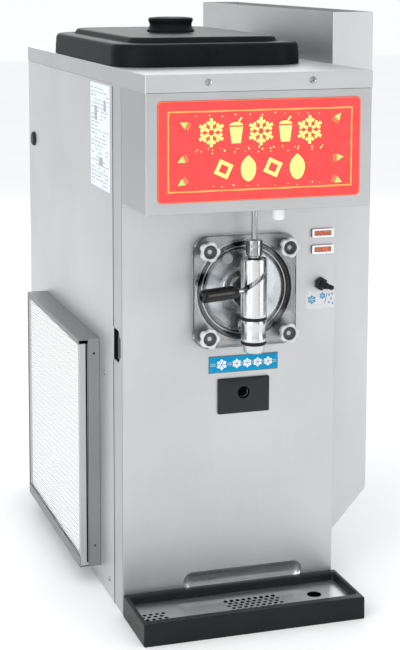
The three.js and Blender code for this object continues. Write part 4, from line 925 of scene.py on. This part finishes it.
def door_knobs():
    for number in range(1, 5):
        node = f"door_knob_{number}"
        low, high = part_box(node)
        insert = middle(f"knob_insert_{number}")
        body = frame["nodes"][node]["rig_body"]
        length = (high.y - low.y) / MM
        radius = (high.x - low.x) / 2
        flange = 11.0
        rim = plate(f"{node}_star", [star(radius, 5, 3.4 * MM), circle(0, 0, 12.1 * MM, 40)], flange * MM,
                    FRONT_VIEW, -high.y + (length - flange) * MM, 2.2 * MM, at=(insert.x, insert.z))
        settle(rim, KNOB, body, 50)
        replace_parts(rim, node)
        # The well inside each knob is painted nearly black: painted shade in the bore.
        well = [(9.4, 0.3), (13.4, 0.3), (13.4, length - flange + 1), (12.2, length - flange + 2),
                (12.2, length - 1.6), (11.6, length - 1.2), (9.4, length - 6), (9.4, 0.3)]
        cup = turned(f"{node}_well", well, (insert.x, high.y, insert.z), (0, -1, 0), 48)
        settle(cup, KNOB_BORE_SHADE, body)


# ---------------------------------------------------------------- draw valve

def slot_cutter(inner, outer, half_width):
    """A strip of the slot's width that climbs round the valve as the handle does."""
    swing = JOINTS["handle_swing"]
    rise = JOINTS["rod_lift"]["range_m"][1]
    turn = math.radians(swing["range_deg"][1])
    pivot = Vector(swing["pos_m"])
    bm = bmesh.new()
    steps = 36
    rings = []
    for k in range(-3, steps + 4):
        share = min(max(k / steps, 0), 1)
        overrun = (k / steps - share) * 3.2
        angle = HANDLE_ANGLE + turn * (share + 0.35 * overrun)
        z = pivot.z + rise * (share + 0.35 * overrun)
        narrowing = math.sqrt(max(0.02, 1 - (overrun * 3.6) ** 2))
        ray = Vector((math.cos(angle), math.sin(angle), 0))
        up = Vector((0, 0, half_width * narrowing))
        base = Vector((VALVE.x, VALVE.y, z))
        rings.append([bm.verts.new(base + ray * inner - up), bm.verts.new(base + ray * outer - up),
                      bm.verts.new(base + ray * outer + up), bm.verts.new(base + ray * inner + up)])
    for lower, upper in zip(rings, rings[1:]):
        skin(bm, lower, upper)
    bm.faces.new(rings[0])
    bm.faces.new(rings[-1])
    return as_object("slot_cutter", bm)


def valve_sleeve():
    low, high = SLEEVE_LOW.z, SLEEVE_HIGH.z
    height = (high - low) / MM
    centre = (VALVE.x, VALVE.y, low)
    wall = [(19.1, 0.2), (21.6, 0), (22.4, 0.5), (23.1, 2), (23.1, 5), (23.35, 6), (23.35, height - 3),
            (22.6, height - 0.6), (21.8, height), (20.2, height), (19.1, height - 1.2), (19.1, 0.2)]
    sleeve = turned("valve_sleeve_tube", wall, centre, segments=96)
    cut(sleeve, slot_cutter(15 * MM, 27 * MM, 5.2 * MM))
    settle(sleeve, VALVE_STEEL, "root", 40)
    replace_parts(sleeve, "valve_sleeve")
    lug_low, lug_high = DOOR.z + 31 * MM, DOOR.z + 56 * MM
    outline = rounded(VALVE.x - 12 * MM, VALVE.x + 12 * MM, lug_low, lug_high, 4 * MM)
    reach = (DOOR_FACE - DOOR_SEAT) - (VALVE.y + 21 * MM)
    lug = plate("valve_lug", [outline], reach, FRONT_VIEW, -DOOR_FACE + DOOR_SEAT, 1.0 * MM)
    settle(lug, CHROME, "root")


def spout():
    low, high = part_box("spout")
    centre = (VALVE.x, VALVE.y, low.z)
    profile = [(14, 0.4), (15, 0), (16.6, 0), (17.6, 1), (18.4, 4), (20.8, 14.4), (20.4, 15), (18, 15),
               (18, 20), (20.6, 20.1), (22.2, 21.4), (22.5, 24), (22.5, 30), (21.4, 33), (21.4, 46),
               (22.5, 49), (22.5, 57), (21.8, 58.6), (17, 59), (17, 69.8), (14, 69.8), (14, 0.4)]
    body = settle(turned("spout_body", profile, centre, segments=96), VALVE_STEEL, "root", 40)
    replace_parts(body, "spout")
    port_z = DOOR.z - 63 * MM
    start = VALVE.y + 17 * MM
    length = (DOOR_FACE - DOOR_SEAT - start) / MM
    port = [(11, 0), (16, 0), (16, length), (11, length), (11, 0)]
    settle(turned("spout_port", port, (VALVE.x, start, port_z), (0, 1, 0), 64), CHROME, "root")
    for node, inner, outer in (("upper_seal", 17.3, 23.3), ("lower_seal", 18.2, 22.4)):
        ring_low, ring_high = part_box(node)
        height = (ring_high.z - ring_low.z) / MM
        profile = softened([(inner, 0), (outer, 0), (outer, height), (inner, height), (inner, 0)], 1.8, 5)
        ring = turned(f"{node}_ring", profile, (VALVE.x, VALVE.y, ring_low.z), segments=96)
        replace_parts(settle(ring, RUBBER, "root", 60), node)


def draw_rod():
    base = ROD_LOW.z
    top = (ROD_HIGH.z - base) / MM
    profile = [(0, 0), (17.8, 0), (17.8, 4.6), (11, 5), (11, 15.6), (13.6, 15.7), (14.5, 16.6), (14.5, 30),
               (14.1, 30.5), (14.1, 31.5), (14.5, 32), (14.5, 42.6), (13.6, 43.7), (6.4, 43.7), (5.3, 45),
               (5.3, top - 1), (4.6, top), (0, top)]
    rod = turned("draw_rod_turned", profile, (VALVE.x, VALVE.y, base), segments=64)
    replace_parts(settle(rod, CHROME, "rod", 40), "draw_rod")


def handle():
    pivot = Vector(JOINTS["handle_swing"]["pos_m"])
    along = Vector((math.cos(HANDLE_ANGLE), math.sin(HANDLE_ANGLE), 0))
    pin = [(0, 2.3), (4.5, 2.3), (4.5, 61), (3.6, 62), (0, 62)]
    shaft = turned("handle_shaft_pin", pin, pivot, along, 40)
    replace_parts(settle(shaft, CHROME, "valve"), "handle_shaft")
    profile = [(4.8, 38), (8.4, 38), (10.2, 39.2), (11, 42), (11.6, 50), (12, 62), (12, 104), (11.6, 109),
               (10.4, 111.6), (8.4, 112.6), (6.6, 112.6), (3, 111), (0, 110.6), (0, 63), (4.8, 62.6),
               (4.8, 38)]
    grip = turned("handle_grip_moulded", profile, pivot, along, 64)
    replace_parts(settle(grip, GRIP, "valve", 50), "handle_grip")


# ---------------------------------------------------------------- controls

def indicator_lights():
    for number in (1, 2):
        node = f"indicator_light_{number}"
        low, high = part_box(node)
        x, z = (low.x + high.x) / 2, (low.z + high.z) / 2
        width, height = 42 * MM, 15.6 * MM
        outer = rounded(-width / 2, width / 2, -height / 2, height / 2, 2.2 * MM)
        window = rounded(-16.6 * MM, 16.6 * MM, -4.6 * MM, 4.6 * MM, 1.2 * MM)
        back = -FRONT + SEAT
        base = plate(f"{node}_base", [outer], 3.0 * MM, FRONT_VIEW, back, 0.5 * MM, at=(x, z))
        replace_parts(settle(base, CONTROL, "root"), node)
        bezel = plate(f"{node}_bezel", [outer, window], 1.45 * MM, FRONT_VIEW, back + 3.0 * MM, 0.45 * MM,
                      at=(x, z))
        settle(bezel, WHITE, "root")
        edge = rounded(-17.6 * MM, 17.6 * MM, -5.4 * MM, 5.4 * MM, 1.2 * MM)
        rim = plate(f"{node}_rim", [edge, rounded(-15.9 * MM, 15.9 * MM, -3.9 * MM, 3.9 * MM, 0.8 * MM)],
                    0.7 * MM, FRONT_VIEW, back + 2.9 * MM, at=(x, z))
        settle(rim, CONTROL, "root")
        lens = plate(f"{node}_lens", [rounded(-16 * MM, 16 * MM, -4 * MM, 4 * MM, 0.8 * MM)],
                     0.9 * MM, FRONT_VIEW, back + 2.95 * MM, 0.25 * MM, at=(x, z))
        settle(lens, AMBER, "root")


def toggle():
    pivot = Vector(JOINTS["toggle_tilt"]["pos_m"])
    x, z = pivot.x, pivot.z
    hexagon = circle(0, 0, 12.5 * MM, 6, math.pi / 6)
    nut = plate("toggle_hex_nut", [hexagon], 5.6 * MM, FRONT_VIEW, -FRONT + SEAT, 0.9 * MM, at=(x, z))
    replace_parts(settle(nut, CONTROL, "root"), "toggle_switch")
    collar = [(0, 0), (9.4, 0), (9.4, 1.2), (7.4, 2.6), (6.6, 3.9), (0, 3.9)]
    ring = turned("toggle_collar", collar, (x, FRONT - 5.8 * MM, z), (0, -1, 0), 48)
    settle(ring, CONTROL, "root")
    lean = math.radians(12)
    boot = [(0, -6.8), (4.9, -5), (6.6, -2), (6.9, 0), (6.6, 2.5), (5.3, 4.4), (5.9, 6), (5.9, 8), (4.7, 9.2),
            (5.1, 10.4), (5.1, 12), (4.2, 13.2), (4.5, 14.4), (4.6, 23), (3.8, 25.8), (2, 26.9), (0, 27)]
    lever = turned("toggle_boot", boot, pivot, (math.sin(lean), -math.cos(lean), 0), 48)
    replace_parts(settle(lever, RUBBER, "toggle", 60), "toggle_lever")


def printed(name, outlines, material, face, at=(0, 0), lift=0.0):
    """A film of ink on a front face whose Y is given; the outlines are in metres."""
    film = plate(name, outlines, PROUD, FRONT_VIEW, -face + lift, at=at)
    return settle(film, material, "root")


def snowflake(x, z, radius, width):
    """Six branched arms as thin quadrilaterals."""
    shapes = []
    for k in range(6):
        a = math.pi / 6 + k * math.pi / 3
        along = Vector((math.cos(a), math.sin(a)))
        across = Vector((-along.y, along.x))
        shapes.append(stroke(Vector((x, z)) + along * width * 0.9, Vector((x, z)) + along * radius, width))
        for side in (-1, 1):
            start = Vector((x, z)) + along * radius * 0.58
            tip = start + (along * 0.5 + across * side * 0.86) * radius * 0.34
            shapes.append(stroke(start + across * side * width * 0.6, tip, width * 0.9))
    return shapes


def stroke(start, end, width):
    across = (end - start).normalized() * width / 2
    side = Vector((-across.y, across.x))
    return [tuple(start - side), tuple(end - side), tuple(end + side), tuple(start + side)]


def drop(x, z, size):
    points = []
    for k in range(24):
        a = 2 * math.pi * k / 24
        pinch = 1 - 0.75 * max(0, math.sin(a)) ** 3
        points.append((x + 0.62 * size * math.cos(a) * pinch, z + size * math.sin(a)))
    return points


def tumbler(x, z, size):
    """A cup with a straw, as two filled outlines."""
    cup = [(x - 0.62 * size, z + 0.45 * size), (x - 0.42 * size, z - size), (x + 0.42 * size, z - size),
           (x + 0.62 * size, z + 0.45 * size)]
    foam_top = [(x + 0.62 * size * math.cos(a), z + 0.58 * size + 0.3 * size * math.sin(a))
                for a in (math.pi * k / 10 for k in range(11))]
    straw = stroke(Vector((x + 0.22 * size, z + 0.92 * size)), Vector((x + 0.5 * size, z + 1.25 * size)),
                   0.16 * size)
    return [cup, foam_top, straw]


def cube(x, z, size):
    """An ice cube: a tilted square with a square window."""
    return [circle(x, z, reach, 4, 0.35) for reach in (size * 1.15, size * 0.6)]


def sign():
    face = SIGN_LOW.y
    width, height = SIGN_HIGH.x - SIGN_LOW.x, SIGN_HIGH.z - SIGN_LOW.z
    at = (SIGN.x, SIGN.z)
    outer = rounded(-width / 2, width / 2, -height / 2, height / 2, 8 * MM)
    sheet = plate("sign_sheet", [outer], SIGN_HIGH.y - face, FRONT_VIEW, -SIGN_HIGH.y, 0.4 * MM, at=at)
    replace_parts(settle(sheet, SIGN_RED, "root"), "display_panel")
    pale = [rounded(-width / 2 + e * MM, width / 2 - e * MM, -height / 2 + e * MM, height / 2 - e * MM,
                    (8 - e) * MM) for e in (0.6, 1.1)]
    printed("sign_edge_line", pale, INK_ORANGE, face, at)
    border = wobbly_frame(-164 * MM, 166 * MM, -68 * MM, 68 * MM, 2.6 * MM)
    printed("sign_border", border, INK_ORANGE, face, at)
    icons = []
    top_row, low_row = 31 * MM, -31 * MM
    for column in range(5):
        x = (-88 + 44 * column) * MM
        flake = column % 2 == 0
        icons += snowflake(x, top_row, 24 * MM, 5.2 * MM) if flake else tumbler(x, top_row, 19 * MM)
    for column in range(4):
        x = (-66 + 44 * column) * MM
        icons += (cube(x, low_row, 16 * MM) if column % 2 == 0 else [drop(x, low_row, 22 * MM)])
    printed("sign_icons", icons, INK_YELLOW, face, at)
    printed("sign_specks", specks(), INK_YELLOW, face, at)
    greens, oranges = [], []
    for x, z, a in ((-136, 46, 2.7), (-140, -14, 3.6), (-140, -52, 3.7), (140, 52, 0.9), (143, -18, 0.1),
                    (141, -58, -0.4)):
        centre = Vector((x * MM, z * MM))
        greens.append([tuple(centre + Vector((math.cos(a + t), math.sin(a + t))) * 7.5 * MM)
                       for t in (0, 2.2, 4.1)])
        for shift in (6, 10):
            start = centre - Vector((math.cos(a), math.sin(a))) * shift * MM
            across = Vector((-math.sin(a), math.cos(a))) * 6 * MM
            oranges.append(stroke(start - across, start + across, 1.6 * MM))
    printed("sign_chips_green", greens, INK_GREEN, face, at, PROUD)
    printed("sign_chips_orange", oranges, INK_ORANGE, face, at)


def wobbly_frame(x0, x1, z0, z1, width):
    """A hand-drawn frame: an outer and an inner outline with slightly uneven width."""
    outlines = []
    for inward, phase in ((0, 0.0), (width, 1.7)):
        corners = [(x0 + inward, z0 + inward), (x1 - inward, z0 + inward), (x1 - inward, z1 - inward),
                   (x0 + inward, z1 - inward)]
        points = []
        for (ax, az), (bx, bz) in zip(corners, corners[1:] + corners[:1]):
            for k in range(16):
                t = k / 16
                wobble = 0.35 * MM * math.sin(9 * t * math.pi + phase + 40 * ax)
                points.append((ax + (bx - ax) * t + wobble, az + (bz - az) * t + wobble))
        outlines.append(points)
    return outlines


def specks():
    """Small dots strewn between the two rows of icons."""
    draw = random.Random(7)
    rows = ((4, 0.0), (3, -1.0), (-3, 1.0), (60, 0.0), (-60, 0.0))
    dots = []
    for z, drift in rows:
        for k in range(11):
            x = (-110 + 22 * k + draw.uniform(-6, 6)) * MM
            dots.append(circle(x, (z + drift + draw.uniform(-2.0, 2.0)) * MM, draw.uniform(0.7, 1.5) * MM, 7))
    return dots


def badge():
    """A plain blue badge with a dark edge, two grey lines and a row of white flakes."""
    at = (24.5 * MM, 449.5 * MM)
    half_x, half_z = 66 * MM, 15.5 * MM
    thickness = 1.0 * MM
    outline = rounded(-half_x, half_x, -half_z, half_z, 1 * MM)
    base = plate("badge_plate", [outline], thickness, FRONT_VIEW, -FRONT, 0.2 * MM, at=at)
    settle(base, INK_TAUPE, "root")
    inner = rounded(-half_x + 1.3 * MM, half_x - 1.3 * MM, -half_z + 1.3 * MM, half_z - 1.3 * MM, 0.6 * MM)
    printed("badge_field", [inner], INK_BLUE, FRONT, at, thickness)
    above = thickness + PROUD
    for side in (-1, 1):
        band = rounded(-63 * MM, 63 * MM, side * 1.6 * MM - 0.8 * MM, side * 1.6 * MM + 0.8 * MM, 0.3 * MM)
        name = f"badge_line_{'lower' if side < 0 else 'upper'}"
        printed(name, [band], INK_GREY, FRONT, at, above)
    crest = (at[0] - 42 * MM, at[1])
    ring = circle(0, 0, 11.4 * MM, 40)
    printed("badge_ring", [ring], INK_BLUE, FRONT, crest, above + PROUD)
    flake = snowflake(0, 0, 10 * MM, 2.2 * MM)
    printed("badge_crest", flake, INK_WHITE, FRONT, crest, above + 2 * PROUD)
    for number, x in enumerate((-13, 7, 27, 47), 1):
        place = (at[0] + x * MM, at[1])
        flake = snowflake(0, 0, 8.4 * MM, 2.2 * MM)
        printed(f"badge_flake_{number}", flake, INK_WHITE, FRONT, place, above + PROUD)


def switch_label():
    """The label under the toggle: a flake for freezing, a flake and drops for running down."""
    at = (173 * MM, 557 * MM)
    printed("switch_label_film", [rounded(-28 * MM, 28 * MM, -17 * MM, 17 * MM, 4 * MM)], LABEL, FRONT, at)
    blue = snowflake(-17 * MM, 0, 8.4 * MM, 1.9 * MM) + snowflake(4 * MM, 6 * MM, 6.2 * MM, 1.5 * MM)
    blue.append(stroke(Vector((8 * MM, -8 * MM)), Vector((13 * MM, 10 * MM)), 1.2 * MM))
    blue += [drop(x * MM, z * MM, 2.3 * MM) for x, z in ((17, 7), (21, 0), (17, -7), (23, 9), (24, -9))]
    printed("switch_label_icons", blue, INK_BLUE, FRONT, at, PROUD)


def rating_label():
    """The paper label on the left side, with plain bars where a real one has print."""
    face = -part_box("left_side_panel")[0].x
    y0, y1 = FRONT + 79 * MM, FRONT + 215 * MM
    z0, z1 = 757 * MM, 948 * MM
    paper = plate("side_label_paper", [rounded(-y1, -y0, z0, z1, 2 * MM)], PROUD, LEFT_VIEW, face)
    settle(paper, PAPER, "root")
    draw = random.Random(11)
    bars, blocks = [], []
    for row in range(26):
        z = z1 - (10 + 7 * row) * MM
        start = -y1 + 6 * MM
        while start < -y0 - 14 * MM:
            length = draw.uniform(6, 26) * MM
            if draw.random() < 0.72:
                bars.append(rounded(start, min(start + length, -y0 - 6 * MM), z, z + 1.7 * MM, 0.2 * MM, 1))
            start += length + draw.uniform(3, 9) * MM
    for y, z, width, height in ((30, 880, 18, 26), (96, 900, 14, 20), (60, 800, 26, 14)):
        blocks.append(rounded(-y1 + y * MM, -y1 + (y + width) * MM, z * MM, (z + height) * MM, 0.5 * MM, 1))
    print_film = plate("side_label_bars", bars, PROUD / 2, LEFT_VIEW, face + PROUD)
    settle(print_film, INK_GREY, "root")
    block_film = plate("side_label_blocks", blocks, PROUD / 2, LEFT_VIEW, face + 1.5 * PROUD)
    settle(block_film, INK_GREY, "root")


# ---------------------------------------------------------------- air filter

def filter_media():
    """The crimped mesh as a sheet of slanted ridges on each face."""
    low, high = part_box("filter_mesh")
    depth = 1.1 * MM
    cell = 2.3 * MM
    columns = round((high.y - low.y) / cell)
    rows = round((high.z - low.z) / cell)
    bm = bmesh.new()
    rims = []
    for x, inward in ((low.x, 1), (high.x, -1)):
        grid = []
        for j in range(rows + 1):
            z = low.z + (high.z - low.z) * j / rows
            line = []
            for i in range(columns + 1):
                y = low.y + (high.y - low.y) * i / columns
                phase = (y * math.sin(CRIMP_SLANT) + z * math.cos(CRIMP_SLANT)) / (2 * CRIMP_PITCH)
                ridge = 0.5 + 0.5 * math.sin(2 * math.pi * phase + 0.8 * math.sin(70 * y) * math.sin(55 * z))
                line.append(bm.verts.new((x + inward * depth * ridge, y, z)))
            grid.append(line)
        rims.append(web(bm, grid))
    skin(bm, *rims)
    media = settle(as_object("filter_media_crimped", bm), FILTER, "filter")
    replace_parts(media, "filter_mesh")


def filter_channel():
    """Dark strips of painted shade in the gap between the filter's frame and its bracket, seen at the open
    end.
    """
    low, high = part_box("filter_frame")
    top = high.z - 1 * MM
    gap = rounded(high.x - 4.4 * MM, high.x - 1.4 * MM, low.z + 6 * MM, top, 0.3 * MM)
    cap = rounded(low.x + 0.4 * MM, high.x - 0.6 * MM, high.z - 7 * MM, top, 0.6 * MM)
    for name, outline, thickness in (("filter_gap_shade", gap, 0.4), ("filter_cap_shade", cap, 0.6)):
        strip = plate(name, [outline], thickness * MM, FRONT_VIEW, -low.y)
        settle(strip, HOLE_SHADE, "filter")


def filter_rivets():
    low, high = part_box("filter_bracket")
    for number, (z, radius) in enumerate(((high.z - 28 * MM, 2.4), (low.z + 40 * MM, 2.0)), 1):
        rivet = turned(f"bracket_rivet_{number}", [(0, 0), (radius, 0), (radius * 0.8, 0.9), (0, 1.2)],
                       (low.x + 30 * MM, low.y, z), (0, -1, 0), 24)
        settle(rivet, CONTROL, "root")


# ---------------------------------------------------------------- stage

FLOOR_SIZE = 30
SKY = 1.0
LAMP_AIM = Vector((0, -0.1, 0.5))  # the point that every lamp faces
# Each lamp has a name, a place, a width and height in metres, and a power in watts.
LAMPS = (
    ("key_left", (-2.6, -3.4, 2.6), (2.0, 2.4), 45),
    ("low_left", (-3.4, -2.4, 0.8), (1.6, 1.4), 34),
    ("fill_right", (3.0, -3.0, 1.0), (1.2, 2.0), 24),
    ("overhead", (0.0, -0.4, 3.6), (3.0, 3.0), 14),
    ("behind", (1.0, 3.6, 2.4), (2.4, 2.4), 30),
)
# Each dark card has a name, a place, a height and width in metres, and a turn in degrees.
CARDS = (
    ("dark_card_left", (-2.4, 0.6, 1.2), (2.2, 2.4), (0, 90, 0)),
    ("dark_card_right", (2.4, 0.0, 1.2), (2.6, 2.4), (0, 90, 0)),
    ("dark_card_front", (1.5, -4.6, 2.6), (1.6, 1.2), (90, 0, 20)),
    ("dark_strip_left", (-1.7, -1.5, 1.2), (0.3, 2.2), (0, 90, 45)),
    ("dark_strip_right", (0.9, -2.2, 1.2), (0.22, 2.2), (0, 90, 110)),
)


def studio():
    """The floor, the sky, the lamps, and dark cards that only reflections show."""
    bpy.ops.mesh.primitive_plane_add(size=FLOOR_SIZE)
    floor = bpy.context.object
    floor.name = "studio_floor"
    floor.data.materials.append(floor_paint("studio_floor_paint"))
    world = bpy.data.worlds.new("studio_sky")
    world.use_nodes = True
    world.node_tree.nodes["Background"].inputs["Color"].default_value = (0.98, 0.99, 1.0, 1)
    world.node_tree.nodes["Background"].inputs["Strength"].default_value = SKY
    bpy.context.scene.world = world
    for name, place, size, power in LAMPS:
        lamp = bpy.data.lights.new(name, "AREA")
        lamp.shape = "RECTANGLE"
        lamp.size, lamp.size_y = size
        lamp.energy = power
        holder = bpy.data.objects.new(name, lamp)
        holder.location = place
        holder.rotation_euler = (LAMP_AIM - Vector(place)).to_track_quat("-Z", "Y").to_euler()
        bpy.context.scene.collection.objects.link(holder)
    black = moulded("studio_card_black", (0.02, 0.02, 0.02), roughness=0.8)
    for name, place, size, turn in CARDS:
        bpy.ops.mesh.primitive_plane_add(size=1, location=place, rotation=[math.radians(a) for a in turn])
        card = bpy.context.object
        card.name = name
        card.scale = (size[1], size[0], 1)
        card.data.materials.append(black)
        card.visible_camera = False
        card.visible_shadow = False
        card.visible_diffuse = False
    bpy.context.scene.view_settings.view_transform = "Standard"


FOCAL_LENGTH = 86.6
SHIFT = (0.05, -0.25)
VIEWPOINT = (-0.9196, -2.9664, 1.1677)
LOOK_DOWN, LOOK_RIGHT = 7.33, 17.19  # in degrees, from level and from straight ahead


def camera():
    """The viewpoint: in front, to the left, a little above the lid."""
    lens = bpy.data.cameras.new("studio_camera")
    lens.lens = FOCAL_LENGTH
    lens.shift_x, lens.shift_y = SHIFT
    lens.clip_end = 2 * FLOOR_SIZE
    view = bpy.data.objects.new("studio_camera", lens)
    view.location = VIEWPOINT
    view.rotation_euler = (math.radians(90 - LOOK_DOWN), 0, math.radians(-LOOK_RIGHT))
    bpy.context.scene.collection.objects.link(view)
    bpy.context.scene.camera = view


# ---------------------------------------------------------------- the whole

camera()
studio()
dress_cad_nodes()
for build in (
    cabinet_shells, cabinet_screws, plugs, finger_pull, lift_scoop, adjuster_bore_shade, seam, skirt_shadows,
    hopper_lid, drip_tray, splash_shield, freezer_door, door_knobs, valve_sleeve, spout, draw_rod, handle,
    indicator_lights, toggle, sign, badge, switch_label, rating_label, filter_media, filter_channel,
    filter_rivets,
):
    build()
